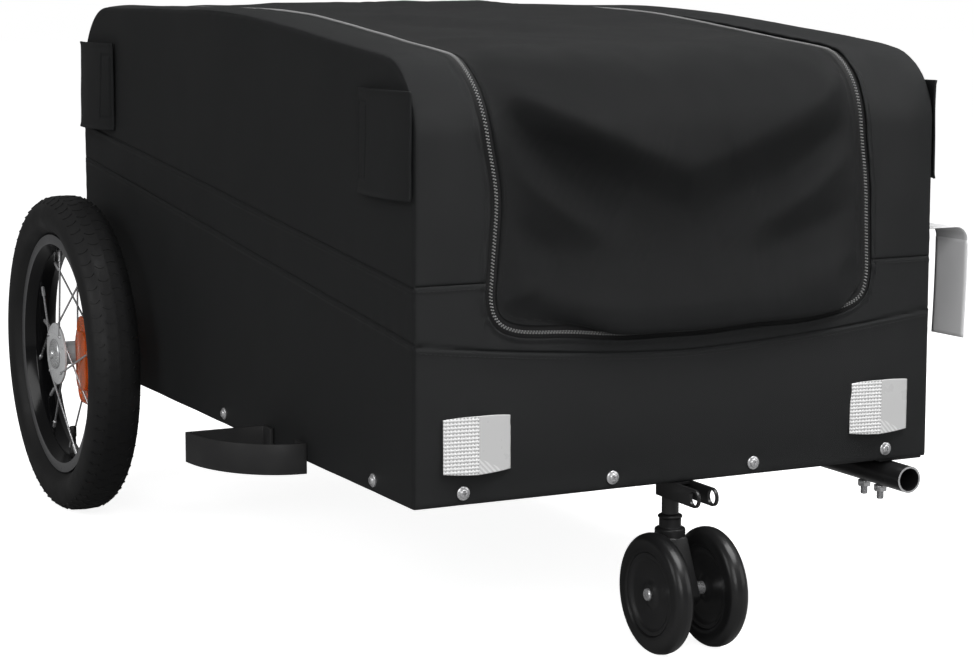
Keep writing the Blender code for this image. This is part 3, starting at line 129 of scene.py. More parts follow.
def grain(tree, scale, detail=3.0, roughness=0.5):
    """Noise over the object's own coordinates."""
    place = add(tree, "TexCoord").outputs["Object"]
    return add(tree, "TexNoise", {"Vector": place, "Scale": scale, "Detail": detail,
                                  "Roughness": roughness}).outputs["Fac"]


def shades(tree, factor, dark, light, low=0.3, high=0.7):
    ramp = add(tree, "ValToRGB", {"Fac": factor})
    for stop, place, colour in zip(ramp.color_ramp.elements, (low, high), (dark, light)):
        stop.position, stop.color = place, (*colour, 1.0)
    return ramp.outputs["Color"]


def spread_value(tree, factor, low, high, start=0.3, end=0.7):
    """Values from low to high as the factor goes from start to end."""
    return add(tree, "MapRange", {"Value": factor, "From Min": start, "From Max": end,
                                  "To Min": low, "To Max": high}).outputs["Result"]


def grey(tree, tone):
    return add(tree, "CombineColor", {"Red": tone, "Green": tone, "Blue": tone}).outputs["Color"]


def raise_by(tree, shader, height, depth, strength=1.0):
    bump = add(tree, "Bump", {"Height": height, "Strength": strength, "Distance": depth})
    before = shader.inputs["Normal"].links
    if before:
        tree.links.new(before[0].from_socket, bump.inputs["Normal"])
    tree.links.new(bump.outputs["Normal"], shader.inputs["Normal"])


def shaded(colour, share):
    return tuple(c * share for c in colour)


def waves(tree, pitch):
    """The two directions of the cloth map, in metres, and a sine along each."""
    place = add(tree, "UVMap", uv_map="cloth").outputs["UV"]
    apart = add(tree, "SeparateXYZ", {"Vector": place}).outputs
    turns = 2 * math.pi / pitch
    return apart["X"], apart["Y"], *(
        maths(tree, "SINE", maths(tree, "MULTIPLY", apart[k], turns)) for k in "XY")


def woven(name, colour, pitch, roughness, sheen, depth=0.00012, mottle=0.10, shine=0.30):
    """Plain weave of crossed threads, with loose fibres and slight creases."""
    made, tree, shader = new_finish(name, colour, roughness, Sheen_Weight=sheen,
                                    Sheen_Roughness=0.45, Specular_IOR_Level=shine)
    fibres = grain(tree, 900.0, 4.0, roughness=0.7)
    patches = grain(tree, 7.0, 2.0)
    mixed = maths(tree, "ADD", maths(tree, "MULTIPLY", fibres, 0.65),
                  maths(tree, "MULTIPLY", patches, 0.35))
    feed(tree, shader,
         shades(tree, mixed, shaded(colour, 1 - mottle), shaded(colour, 1 + mottle)),
         spread_value(tree, patches, roughness - 0.05, roughness + 0.05))
    warp, weft = waves(tree, pitch)[2:]
    raise_by(tree, shader, maths(tree, "MULTIPLY", warp, weft), depth)
    raise_by(tree, shader, grain(tree, 45.0, 3.0), 0.0005, 0.35)
    return made


def painted(name, colour, roughness, peel=0.00004, wear=0.25, **sockets):
    """Powder coat or moulded plastic: fine peel, and slightly uneven gloss."""
    sockets = {"Specular_IOR_Level": 0.3, **sockets}
    made, tree, shader = new_finish(name, colour, roughness, **sockets)
    cloud = grain(tree, 22.0, 4.0)
    feed(tree, shader, shades(tree, cloud, shaded(colour, 1 - wear), shaded(colour, 1 + wear)),
         spread_value(tree, grain(tree, 60.0, 5.0), roughness * 0.8, min(1.0, roughness * 1.2)))
    raise_by(tree, shader, grain(tree, 1100.0, 2.0), peel)
    return made


def brushed(name, colour, roughness, stretch=(1, 1, 1), metallic=1.0):
    """Bare metal with fine lines drawn along one direction."""
    made, tree, shader = new_finish(name, colour, roughness, Metallic=metallic)
    place = add(tree, "TexCoord").outputs["Object"]
    drawn = add(tree, "Mapping", {"Vector": place, "Scale": stretch}).outputs["Vector"]
    lines = add(tree, "TexNoise", {"Vector": drawn, "Scale": 500.0, "Detail": 4.0}).outputs["Fac"]
    feed(tree, shader, shades(tree, grain(tree, 30.0, 4.0), shaded(colour, 0.88), colour),
         spread_value(tree, lines, roughness * 0.75, roughness * 1.3))
    raise_by(tree, shader, lines, 0.00002)
    return made


def rubbery(name, colour, roughness, dust, **sockets):
    """Rubber with a fine skin and a little dust in its hollows."""
    sockets = {"Specular_IOR_Level": 0.3, **sockets}
    made, tree, shader = new_finish(name, colour, roughness, **sockets)
    feed(tree, shader, shades(tree, grain(tree, 14.0, 6.0), colour, dust, 0.42, 0.85),
         spread_value(tree, grain(tree, 40.0, 5.0), roughness * 0.85, min(1.0, roughness * 1.15)))
    raise_by(tree, shader, grain(tree, 700.0, 3.0), 0.00006)
    return made


def reflective(name):
    """Silver patch, with small cells pressed into one half and stripes on the other; the first half
    is painted lit, nearly white, and the other painted in shade, plain grey.
    """
    made, tree, shader = new_finish(name, (0.80, 0.81, 0.83), 0.3, Metallic=0.0,
                                    Coat_Weight=0.6, Coat_Roughness=0.08)
    x, y, a, b = waves(tree, 0.0028)
    cells = maths(tree, "ADD", a, b)
    painted_lit_half = spread_value(tree, cells, 0.42, 0.95, -2.0, -0.6)
    slant = maths(tree, "MULTIPLY", maths(tree, "ADD", x, y), 1500.0)
    stripe = maths(tree, "GREATER_THAN", maths(tree, "SINE", slant), 0.0)
    lower = maths(tree, "LESS_THAN", maths(tree, "ADD", y, maths(tree, "MULTIPLY", x, 0.5)), 0.036)
    striped = maths(tree, "MULTIPLY", maths(tree, "MULTIPLY", stripe, lower), 0.18)
    # painted shade: the striped half is plain grey, darker than the half with cells, as if turned
    # from the light
    plain = maths(tree, "ADD", 0.62, striped)
    # 1 on the half painted in shade, 0 on the half painted lit
    beyond = maths(tree, "GREATER_THAN", x, 0.0)
    feed(tree, shader, grey(tree, spread_value(tree, beyond, painted_lit_half, plain, 0.0, 1.0)),
         spread_value(tree, grain(tree, 90.0), 0.24, 0.38))
    pressed = maths(tree, "MULTIPLY", cells, maths(tree, "SUBTRACT", 1.0, beyond))
    raise_by(tree, shader, pressed, 0.00025)
    return made


def clear_amber(name, colour):
    """Clear coloured plastic with prisms moulded into its back."""
    made, tree, shader = new_finish(name, colour, 0.10, Transmission_Weight=0.45, IOR=1.49,
                                    Coat_Weight=0.4)
    feed(tree, shader, shades(tree, grain(tree, 60.0, 2.0), shaded(colour, 0.7), colour))
    place = add(tree, "TexCoord").outputs["Object"]
    prisms = add(tree, "TexVoronoi", {"Vector": place, "Scale": 420.0}).outputs["Distance"]
    raise_by(tree, shader, prisms, 0.0002, 0.5)
    return made


fabric = woven("box fabric", (0.0050, 0.0057, 0.0063), 0.0009, 0.52, 0.02)
cover_cloth = woven("cover cloth", (0.0042, 0.0047, 0.0052), 0.0006, 0.50, 0.03, 0.00010, 0.25,
                    0.22)
tape = woven("zip tape", (0.006, 0.006, 0.0065), 0.0011, 0.8, 0.15)
thread = woven("sewing thread", (0.010, 0.0105, 0.011), 0.0005, 0.6, 0.2)
zip_teeth = painted("zip teeth", (0.30, 0.30, 0.30), 0.38, 0.00001, 0.08)
ribbon_cloth = woven("label ribbon", (0.80, 0.80, 0.81), 0.0004, 0.45, 0.1, 0.00004, 0.04)
label_card = painted("blank label", (0.95, 0.95, 0.96), 0.5, 0.00001, 0.02)
# the patch's two halves are painted lit and in shade
patch_painted_light_and_shade = reflective("reflective patch")
powder_coat = painted("black powder coat", (0.015, 0.015, 0.0155), 0.32, Coat_Weight=0.25,
                      Coat_Roughness=0.2)
guard_coat = painted("guard coat", (0.021, 0.021, 0.0215), 0.5, 0.00006)
plastic = painted("black plastic", (0.017, 0.017, 0.0175), 0.36, 0.00006)
board_finish = painted("floor board", (0.030, 0.030, 0.031), 0.55, 0.0001)
zinc = brushed("zinc plate", (0.66, 0.66, 0.67), 0.28, metallic=0.7)
bright = brushed("hub aluminium", (0.92, 0.93, 0.94), 0.34, (0.3, 1, 1), metallic=0.25)
rim_metal = brushed("rim aluminium", (0.17, 0.17, 0.175), 0.34, (0.2, 1, 1), metallic=0.4)
rim_bed = painted("rim bed", (0.005, 0.005, 0.0055), 0.16, 0.00001, 0.1)
wire = brushed("spoke wire", (0.62, 0.62, 0.63), 0.24, metallic=0.6)
chrome = brushed("chrome", (0.80, 0.81, 0.82), 0.26, metallic=0.7)
tyre_rubber = rubbery("tyre rubber", (0.0115, 0.0115, 0.012), 0.55, (0.019, 0.019, 0.019))
caster_rubber = rubbery("caster rubber", (0.010, 0.010, 0.0105), 0.34, (0.016, 0.016, 0.016),
                        Coat_Weight=0.1, Coat_Roughness=0.12)
lens = clear_amber("amber lens", (1.0, 0.22, 0.03))
lens_back = clear_amber("amber lens back", (0.95, 0.38, 0.06))


# Mesh helpers

def shade(made, sharp=40.0):
    """Smooth shading, with edges over an angle left sharp."""
    made.data.shade_smooth()
    made.data.set_sharp_from_angle(angle=math.radians(sharp))
    return made


def new_object(name, shape, finish, sharp=40.0, outward=True):
    """Object from a bmesh that is given where it stands."""
    if outward:
        bmesh.ops.recalc_face_normals(shape, faces=shape.faces)
    mesh = bpy.data.meshes.new(name)
    shape.to_mesh(mesh)
    shape.free()
    mesh.materials.append(finish)
    made = bpy.data.objects.new(name, mesh)
    bpy.context.scene.collection.objects.link(made)
    return shade(made, sharp)


def settle(made):
    """Turns an object's modifiers into plain mesh."""
    graph = bpy.context.evaluated_depsgraph_get()
    mesh = bpy.data.meshes.new_from_object(made.evaluated_get(graph))
    made.modifiers.clear()
    made.data = mesh
    return made


def bevel(made, width, segments=2):
    step = made.modifiers.new("soft edges", "BEVEL")
    step.width, step.segments = width, segments
    step.limit_method, step.angle_limit = "ANGLE", math.radians(35)
    step.harden_normals = False
    return shade(settle(made), 50)


def cut(target, cutters):
    """Takes the cutters out of target."""
    for cutter in cutters:
        step = target.modifiers.new("cut", "BOOLEAN")
        step.operation, step.solver, step.object = "DIFFERENCE", "EXACT", cutter
    settle(target)
    for cutter in cutters:
        bpy.data.objects.remove(cutter)
    return shade(target)


def join(name, parts):
    """One object of several, which keep their own finishes."""
    with bpy.context.temp_override(active_object=parts[0], selected_editable_objects=parts):
        bpy.ops.object.join()
    parts[0].name = name
    parts[0].data.name = name
    return parts[0]


def softened(profile, radius, steps=3, closed=True):
    """Rounds the corners of an outline of points."""
    out = []
    count = len(profile)
    for i, here in enumerate(profile):
        here = Vector(here)
        if not closed and i in (0, count - 1):
            out.append(tuple(here))
            continue
        before, after = Vector(profile[i - 1]), Vector(profile[(i + 1) % count])
        back, on = (before - here), (after - here)
        reach = min(radius, back.length * 0.45, on.length * 0.45)
        if reach < 1e-6 or back.angle(on) > math.radians(172):
            out.append(tuple(here))
            continue
        start, end = here + back.normalized() * reach, here + on.normalized() * reach
        for k in range(steps + 1):
            u = k / steps
            out.append(tuple(start * (1 - u) ** 2 + here * 2 * u * (1 - u) + end * u * u))
    return out


def arc(centre, radius, start, end, steps):
    """Points on a circle from one angle to another, in degrees."""
    turn = [math.radians(start + (end - start) * i / steps) for i in range(steps + 1)]
    return [(centre[0] + radius * math.cos(a), centre[1] + radius * math.sin(a)) for a in turn]


def rings_to_faces(shape, rings, closed_rows, closed_rings):
    """Faces between neighbouring rings of vertices, but for those that shrink to a line."""
    rows = len(rings)
    for i in range(rows if closed_rows else rows - 1):
        a, b = rings[i], rings[(i + 1) % rows]
        for j in range(len(a) if closed_rings else len(a) - 1):
            k = (j + 1) % len(a)
            corners = list(dict.fromkeys((a[j], a[k], b[k], b[j])))
            if len(corners) > 2:
                shape.faces.new(corners)


def lathe(name, profile, centre, axis, finish, segments=64, sharp=40.0):
    """Turns an (along, radius) outline about an axis. One that starts at radius 0 is solid."""
    shape = bmesh.new()
    turn = Vector(axis).to_track_quat("Z", "Y").to_matrix()
    poles = {i: shape.verts.new(Vector(centre) + turn @ Vector((0, 0, along)))
             for i, (along, radius) in enumerate(profile) if radius < 1e-7}
    rings = []
    for j in range(segments):
        angle = 2 * math.pi * j / segments
        rings.append([poles[i] if i in poles else shape.verts.new(
            Vector(centre) + turn @ Vector((r * math.cos(angle), r * math.sin(angle), along)))
            for i, (along, r) in enumerate(profile)])
    rings_to_faces(shape, rings, True, profile[0][1] > 1e-7)
    return new_object(name, shape, finish, sharp)


def borer(centre, axis, radius, start, end, segments=32):
    """A plain cylinder from start to end along an axis, to cut a hole with."""
    return lathe("hole", [(start, 0), (start, radius), (end, radius), (end, 0)], centre, axis,
                 plastic, segments)


def mirrored(outline):
    """An outline and its mirror image across the middle."""
    return outline + [(-a, b) for a, b in reversed(outline) if abs(a) > 1e-9]


def prism(name, outline, lift, finish, place):
    """Outline lifted into a solid; place turns (u, v, w) into a point."""
    shape = bmesh.new()
    low = [shape.verts.new(place(u, v, 0.0)) for u, v in outline]
    high = [shape.verts.new(place(u, v, lift)) for u, v in outline]
    shape.faces.new(low)
    shape.faces.new(high)
    rings_to_faces(shape, [low, high], False, True)
    return new_object(name, shape, finish)


def block(name, corner, opposite, finish, soft=0.0):
    low, high = Vector(map(min, corner, opposite)), Vector(map(max, corner, opposite))
    outline = [(low.x, low.y), (high.x, low.y), (high.x, high.y), (low.x, high.y)]
    made = prism(name, outline, high.z - low.z, finish, lambda u, v, w: Vector((u, v, low.z + w)))
    return bevel(made, soft) if soft else made


def pipe(name, path, radius, finish, wall=0.0, sides=24):
    """Round tube along points, hollow and open-ended when it has a wall."""
    shape = bmesh.new()
    path = [Vector(p) for p in path]
    side = (path[1] - path[0]).orthogonal().normalized()
    layers = [radius, radius - wall] if wall else [radius]
    rings = [[] for _ in layers]
    for i, point in enumerate(path):
        along = (path[min(i + 1, len(path) - 1)] - path[max(i - 1, 0)]).normalized()
        side = (side - along * side.dot(along)).normalized()
        up = along.cross(side)
        for ring, size in zip(rings, layers):
            ring.append([shape.verts.new(point + (side * math.cos(a) + up * math.sin(a)) * size)
                         for a in (2 * math.pi * j / sides for j in range(sides))])
    for ring in rings:
        rings_to_faces(shape, ring, False, True)
    for end in (0, -1):
        if wall:
            rings_to_faces(shape, [rings[0][end], rings[1][end]], False, True)
        else:
            shape.faces.new(rings[0][end])
    return new_object(name, shape, finish)


def rounded_rectangle(width, height, radius, steps=6):
    points = []
    for cx, cy, start in ((1, 1, 0), (-1, 1, 90), (-1, -1, 180), (1, -1, 270)):
        centre = (cx * (width / 2 - radius), cy * (height / 2 - radius))
        points += arc(centre, radius, start, start + 90, steps)
    return points


# Geometry Nodes that set out repeats

def new_tree(name, inputs):
    tree = bpy.data.node_groups.new(name, "GeometryNodeTree")
    tree.interface.new_socket("Geometry", in_out="INPUT", socket_type="NodeSocketGeometry")
    for label, kind in inputs:
        tree.interface.new_socket(label, in_out="INPUT", socket_type="NodeSocket" + kind)
    tree.interface.new_socket("Geometry", in_out="OUTPUT", socket_type="NodeSocketGeometry")

    def step(kind, values=None, **settings):
        return add_node(tree, kind, values, **settings)

    return tree, step, step("NodeGroupInput").outputs


def vector_attribute(step, name):
    return step("GeometryNodeInputNamedAttribute", {"Name": name},
                data_type="FLOAT_VECTOR").outputs["Attribute"]


def copies_at(tree, step, given, points, up, along):
    """The given shape on every point, its Z along up and its X along the other direction."""
    turn = step("FunctionNodeAxesToRotation", {"Primary Axis": up, "Secondary Axis": along},
                primary_axis="Z", secondary_axis="X")
    shape = step("GeometryNodeObjectInfo", {"Object": given["Shape"], "As Instance": True})
    copies = step("GeometryNodeInstanceOnPoints",
                  {"Points": points, "Instance": shape.outputs["Geometry"],
                   "Rotation": turn.outputs["Rotation"]})
    plain = step("GeometryNodeRealizeInstances", {"Geometry": copies.outputs["Instances"]})
    dressed = step("GeometryNodeSetMaterial", {"Geometry": plain.outputs["Geometry"],
                                               "Material": given["Finish"]})
    tree.links.new(dressed.outputs["Geometry"], step("NodeGroupOutput").inputs["Geometry"])
    return tree


def points_tree():
    tree, step, given = new_tree("shape on each point", [
        ("Shape", "Object"), ("Finish", "Material")])
    points = step("GeometryNodeMeshToPoints", {"Mesh": given["Geometry"]})
    return copies_at(tree, step, given, points.outputs["Points"], vector_attribute(step, "up"),
                     vector_attribute(step, "along"))


def path_tree():
    tree, step, given = new_tree("shape along a path", [
        ("Shape", "Object"), ("Finish", "Material"), ("Pitch", "Float"), ("Start", "Float")])
    line = step("GeometryNodeMeshToCurve", {"Mesh": given["Geometry"]})
    trimmed = step("GeometryNodeTrimCurve", {"Curve": line.outputs["Curve"]}, mode="LENGTH")
    start, end = [socket for socket in trimmed.inputs
                  if socket.enabled and socket.name in ("Start", "End")]
    tree.links.new(given["Start"], start)
    end.default_value = 1e6        # metres, past the end of any path
    spaced = step("GeometryNodeResampleCurve", {"Curve": trimmed.outputs["Curve"],
                                                "Length": given["Pitch"]}, mode="LENGTH")
    tangent = step("GeometryNodeInputTangent").outputs["Tangent"]
    return copies_at(tree, step, given, spaced.outputs["Curve"], vector_attribute(step, "up"),
                     tangent)


POINTS_TREE, PATH_TREE = points_tree(), path_tree()


def run_tree(name, tree, mesh, inputs, finish):
    """Runs a tree on a guide mesh and keeps its result as a plain mesh."""
    guide = bpy.data.objects.new(name + "_guide", mesh)
    bpy.context.scene.collection.objects.link(guide)
    step = guide.modifiers.new(name, "NODES")
    step.node_group = tree
    labels = {item.name: item.identifier for item in tree.interface.items_tree
              if item.in_out == "INPUT"}
    for label, value in {"Finish": finish, **inputs}.items():
        step[labels[label]] = value
    graph = bpy.context.evaluated_depsgraph_get()
    made = bpy.data.objects.new(name, bpy.data.meshes.new_from_object(guide.evaluated_get(graph)))
    bpy.context.scene.collection.objects.link(made)
    bpy.data.objects.remove(guide)
    return shade(made)


def with_vectors(mesh, **given):
    for name, values in given.items():
        attribute = mesh.attributes.new(name, "FLOAT_VECTOR", "POINT")
        attribute.data.foreach_set("vector", np.asarray(values, np.float32).ravel())
    return mesh


def set_out(name, shape, places, ups, alongs, finish):
    """Copies of a shape at places."""
    mesh = bpy.data.meshes.new(name)
    mesh.from_pydata([tuple(p) for p in places], [], [])
    return run_tree(name, POINTS_TREE, with_vectors(mesh, up=ups, along=alongs),
                    {"Shape": shape}, finish)


def along_paths(name, shape, paths, pitch, finish, start=0.0):
    """Copies of a shape at a pitch along paths, each an (points, ups) pair."""
    verts, edges, ups = [], [], []
    for points, up in paths:
        first = len(verts)
        verts += [tuple(p) for p in points]
        ups += [tuple(p) for p in up]
        edges += [(first + i, first + i + 1) for i in range(len(points) - 1)]
    mesh = bpy.data.meshes.new(name)
    mesh.from_pydata(verts, edges, [])
    return run_tree(name, PATH_TREE, with_vectors(mesh, up=ups),
                    {"Shape": shape, "Pitch": pitch, "Start": start}, finish)


def drop(*shapes):
    for shape in shapes:
        bpy.data.objects.remove(shape)


# The outline of the box from the front hem over the top to the rear hem, as (behind, above)

def box_outline():
    run, rise = LEVEL_FROM - FRONT_RADIUS, BOX_HEIGHT - FRONT_UPRIGHT
    slope = math.atan2(rise, run) - math.asin(FRONT_RADIUS / math.hypot(run, rise))
    points = [(0.0, FRONT_UPRIGHT * i / 60) for i in range(60)]
    points += arc((FRONT_RADIUS, FRONT_UPRIGHT), FRONT_RADIUS, 180, 90 + math.degrees(slope), 30)
    ease = 0.10
    knee = Vector((LEVEL_FROM, BOX_HEIGHT))
    start = knee - Vector((math.cos(slope), math.sin(slope))) * ease
    end = knee + Vector((ease, 0.0))
    for i in range(21):
        u = i / 20
        points.append(tuple(start * (1 - u) ** 2 + knee * 2 * u * (1 - u) + end * u * u))
    points += arc((BOX_LENGTH - REAR_RADIUS, BOX_HEIGHT - REAR_RADIUS), REAR_RADIUS, 90, 0, 30)
    rear = BOX_HEIGHT - REAR_RADIUS
    points += [(BOX_LENGTH, rear * (1 - i / 60)) for i in range(1, 61)]
    return np.array(points)


def run_lengths(points):
    return np.concatenate([[0.0], np.cumsum(np.linalg.norm(np.diff(points, axis=0), axis=1))])


OUTLINE = box_outline()
OUTLINE_T = run_lengths(OUTLINE)
EVEN_T = np.linspace(0.0, OUTLINE_T[-1], 1200)
EVEN = np.stack([np.interp(EVEN_T, OUTLINE_T, OUTLINE[:, k]) for k in (0, 1)], axis=1)
TANGENT = np.gradient(EVEN, EVEN_T, axis=0)
TANGENT /= np.linalg.norm(TANGENT, axis=1)[:, None]
T_COVER_END = float(np.interp(COVER_END, EVEN[:, 0], EVEN_T))
T_END = float(EVEN_T[-1])


def outline_at(t):
    """Behind, above and the outward direction at run lengths t from the front hem."""
    s, z = np.interp(t, EVEN_T, EVEN[:, 0]), np.interp(t, EVEN_T, EVEN[:, 1])
    ds, dz = np.interp(t, EVEN_T, TANGENT[:, 0]), np.interp(t, EVEN_T, TANGENT[:, 1])
    size = np.hypot(ds, dz)
    return s, z, -dz / size, ds / size


def skin(x, t, lift=0.0):
    """Points x across and t along the outline, lifted off the box."""
    x, t, lift = np.broadcast_arrays(np.asarray(x, float), t, lift)
    s, z, out_s, out_z = outline_at(t)
    return np.stack([x, FRONT_Y + s + out_s * lift, EDGE + z + out_z * lift], axis=-1)


def top_height(s):
    """Height of the outline over a place behind the front."""
    first = int(np.argmax(EVEN_T >= FRONT_UPRIGHT))
    last = int(np.argmax(EVEN_T >= T_END - BOX_HEIGHT + REAR_RADIUS)) + 1
    return np.interp(s, EVEN[first:last, 0], EVEN[first:last, 1])


# Cloth

def keep(made, body, kind, *nodes):
    """Rides on a body and stands for CAD nodes; kind is not used."""
    if body:
        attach(made, body)
    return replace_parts(made, *nodes) if nodes else made


def smooth_noise(a, b, scale, seed):
    """Noise from -1 to 1 over two arrays, with features of the given size in metres."""
    flat = [noise.noise(Vector((p / scale, q / scale, seed))) for p, q in
            zip(np.ravel(a), np.ravel(b))]
    return np.array(flat).reshape(np.shape(a))


def border_drop(away, depth=0.0022, reach=0.005):
    """How far a sewn border turns inwards."""
    return depth * (1 - np.clip(away, 0, reach) / reach) ** 2


def seam(above, lip=0.0008, depth=0.0011):
    """Height of the cloth beside a sewn seam; the lower panel's lip stands out under it."""
    fold = -depth * np.exp(-(above / 0.0010) ** 2)
    return fold + lip * np.where(above < 0, np.exp(above / 0.006), 0.0) * (np.abs(above) > 0.0008)


def puckers(along, away, seed, height=0.0005, reach=0.012):
    """Small waves that a line of stitching draws into the cloth beside it."""
    return height * smooth_noise(along, away * 0.4, 0.011, seed) * np.exp(-np.abs(away) / reach)


CLUSTER = np.array([0.0, 0.0007, 0.0014, 0.0022, 0.0034, 0.0055])


def between(low, high, pitch):
    """Rows of heights from low to high, arrays both, closer together near each end."""
    low, high = np.broadcast_arrays(np.asarray(low, float), high)
    start, stop = low + CLUSTER[-1], high - CLUSTER[-1]
    count = max(2, int(np.ceil(float(np.max(stop - start)) / pitch)))
    rows = [low + c for c in CLUSTER[:-1]]
    rows += [start + (stop - start) * i / count for i in range(count + 1)]
    rows += [high - c for c in CLUSTER[:-1][::-1]]
    return np.stack(rows)


def cloth_sheet(name, grids, finish, thickness=CLOTH, outward=None):
    """Thick cloth from grids of (places, flat places). Grids that share a border are joined."""
    shape = bmesh.new()
    layer = shape.loops.layers.uv.new("cloth")
    for places, flats in grids:
        verts = [[shape.verts.new(p) for p in row] for row in places]
        for i in range(len(verts) - 1):
            for j in range(len(verts[0]) - 1):
                keys = ((i, j), (i, j + 1), (i + 1, j + 1), (i + 1, j))
                face = shape.faces.new([verts[a][b] for a, b in keys])
                for loop, (a, b) in zip(face.loops, keys):
                    loop[layer].uv = flats[a][b]
    bmesh.ops.remove_doubles(shape, verts=shape.verts, dist=2e-5)
    bmesh.ops.recalc_face_normals(shape, faces=shape.faces)
    shape.normal_update()
    middle = Vector((0, FRONT_Y + BOX_LENGTH / 2, EDGE + BOX_HEIGHT / 2))

    def outwards(face):
        facing = Vector(outward) if outward else face.calc_center_median() - middle
        return face.normal.dot(facing) * face.calc_area()

    if sum(map(outwards, shape.faces)) < 0:
        bmesh.ops.reverse_faces(shape, faces=shape.faces)
    made = new_object(name, shape, finish, 60.0, outward=False)
    step = made.modifiers.new("thickness", "SOLIDIFY")
    step.thickness, step.offset = thickness, -1.0
    return settle(made)


def grid_of(place, a, b):
    """A cloth grid whose flat map is its own two coordinates."""
    return place(a, b), np.stack([a, b], axis=-1)


SIDE_SCREWS = (0.074, 0.396)                              # behind the front
FRONT_SCREWS = [(-1.5 + i) * 0.1282 for i in range(4)]    # across


def dimples(along, above, screws):
    """The cloth is drawn in round each hem screw."""
    dip = np.zeros(np.shape(along))
    for place in screws:
        away = np.hypot(along - place, above - SCREW_ABOVE)
        dip -= 0.0009 * np.exp(-(away / 0.008) ** 2)
    return dip


# Heights of the two seams that cross each side

def upper_seam(s):
    return 0.1643 + 0.0810 * s / BOX_LENGTH


def lower_seam(s):
    return 0.1232 + 0.0883 * s / BOX_LENGTH


def place_side(side):
    """Places on a side panel, s behind the front and z above the bottom edge."""
    def place(s, z):
        top = top_height(s)
        away = np.minimum(np.minimum(s, BOX_LENGTH - s), top - z)
        for cs, cz, radius, beyond in (
                (FRONT_RADIUS, FRONT_UPRIGHT, FRONT_RADIUS, s < FRONT_RADIUS),
                (BOX_LENGTH - REAR_RADIUS, BOX_HEIGHT - REAR_RADIUS, REAR_RADIUS,
                 s > BOX_LENGTH - REAR_RADIUS)):
            round_away = radius - np.hypot(s - cs, z - cz)
            away = np.where(beyond & (z > cz), round_away, away)
        away = np.clip(away, 0, None)
        up, low = z - upper_seam(s), z - lower_seam(s)
        lift = seam(up) + seam(low) - 0.0005 * np.exp(-((up + 0.0052) / 0.0008) ** 2)
        lift += puckers(s, up, 3 + side) + puckers(s, low, 7 + side)
        lift += puckers(s + z, away, 11 + side, 0.0006, 0.010)
        slack = np.clip(away / 0.05, 0, 1)
        lift += slack * (0.0012 * smooth_noise(s, z, 0.16, 15 + side)
                         + 0.0005 * smooth_noise(s, z, 0.05, 19 + side))
        lift += dimples(s, z, SIDE_SCREWS) - border_drop(z, 0.0008, 0.003)
        x = side * (half_width(z) + lift - border_drop(away, 0.0014, 0.004))
        inset = np.clip(0.0006 - away, 0, None)
        shift = np.where(s < 0.1, inset, np.where(s > BOX_LENGTH - 0.1, -inset, 0))
        return np.stack([x, FRONT_Y + s + shift, EDGE + z - np.where(z > 0.2, inset * 0.7, 0)],
                        axis=-1)
    return place


def side_columns():
    front = FRONT_RADIUS * (1 - np.cos(np.linspace(0, math.pi / 2, 20)))
    rear = BOX_LENGTH - REAR_RADIUS * (1 - np.cos(np.linspace(math.pi / 2, 0, 20)))
    near = np.array([0.0, 0.0012, 0.0026, 0.0042])
    middle = np.linspace(FRONT_RADIUS, BOX_LENGTH - REAR_RADIUS, 112)[1:-1]
    every = np.concatenate([near, front, middle, rear, BOX_LENGTH - near])
    every = np.unique(np.round(every, 6))
    keep = [every[0]]
    for value in every[1:]:
        if value - keep[-1] > 0.0006:
            keep.append(value)
    keep[-1] = BOX_LENGTH
    return np.array(keep)


def make_side(side, hand):
    s = side_columns()
    top = top_height(s)
    low, high = lower_seam(s), upper_seam(s)
    rows = [between(0.0, low, 0.008), between(low, high, 0.006), between(high, top, 0.008)]
    heights = np.concatenate([rows[0], rows[1][1:], rows[2][1:]])
    behind = np.broadcast_to(s, heights.shape)
    made = cloth_sheet(f"side_panel_{hand}", [grid_of(place_side(side), behind, heights)], fabric)
    keep(made, "frame", "charcoal_fabric", f"bag_{hand}")


# The zip's middle line

# Right-hand leg, bottom run and left-hand leg: places read off the photo, in metres
# across and along the outline from the front hem
ZIP_POINTS = [
    (-0.1633, T_COVER_END), (-0.165, 0.88), (-0.170, 0.75), (-0.1735, 0.578), (-0.1768, 0.447),
    (-0.178, 0.376), (-0.1789, 0.3327), (-0.1766, 0.3045), (-0.1723, 0.2777), (-0.1685, 0.2528),
    (-0.1660, 0.2270), (-0.1666, 0.1981), (-0.1686, 0.1713), (-0.1698, 0.1534),
    (-0.1654, 0.1390), (-0.1532, 0.1305), (-0.1281, 0.1262), (-0.0764, 0.1222),
    (-0.0233, 0.1203), (0.0311, 0.1207), (0.0870, 0.1235), (0.1229, 0.1257),
    (0.1481, 0.1293), (0.1633, 0.1373), (0.1683, 0.1522),
    (0.1687, 0.1741), (0.1675, 0.1991), (0.1649, 0.2300), (0.1623, 0.2609), (0.1599, 0.2938),
    (0.1595, 0.3287), (0.1615, 0.3712), (0.162, 0.45), (0.164, 0.60), (0.164, 0.80),
    (0.1633, T_COVER_END)]


def smooth_line(points, per_span=14):
    """A curve through every point."""
    p = np.array(points, float)
    p = np.vstack([2 * p[0] - p[1], p, 2 * p[-1] - p[-2]])
    out = []
    for i in range(1, len(p) - 2):
        for k in range(per_span):
            u = k / per_span
            a, b, c, d = p[i - 1:i + 3]
            out.append(0.5 * (2 * b + (c - a) * u + (2 * a - 5 * b + 4 * c - d) * u * u
                              + (3 * b - a - 3 * c + d) * u ** 3))
    out.append(p[-2])
    return np.array(out)


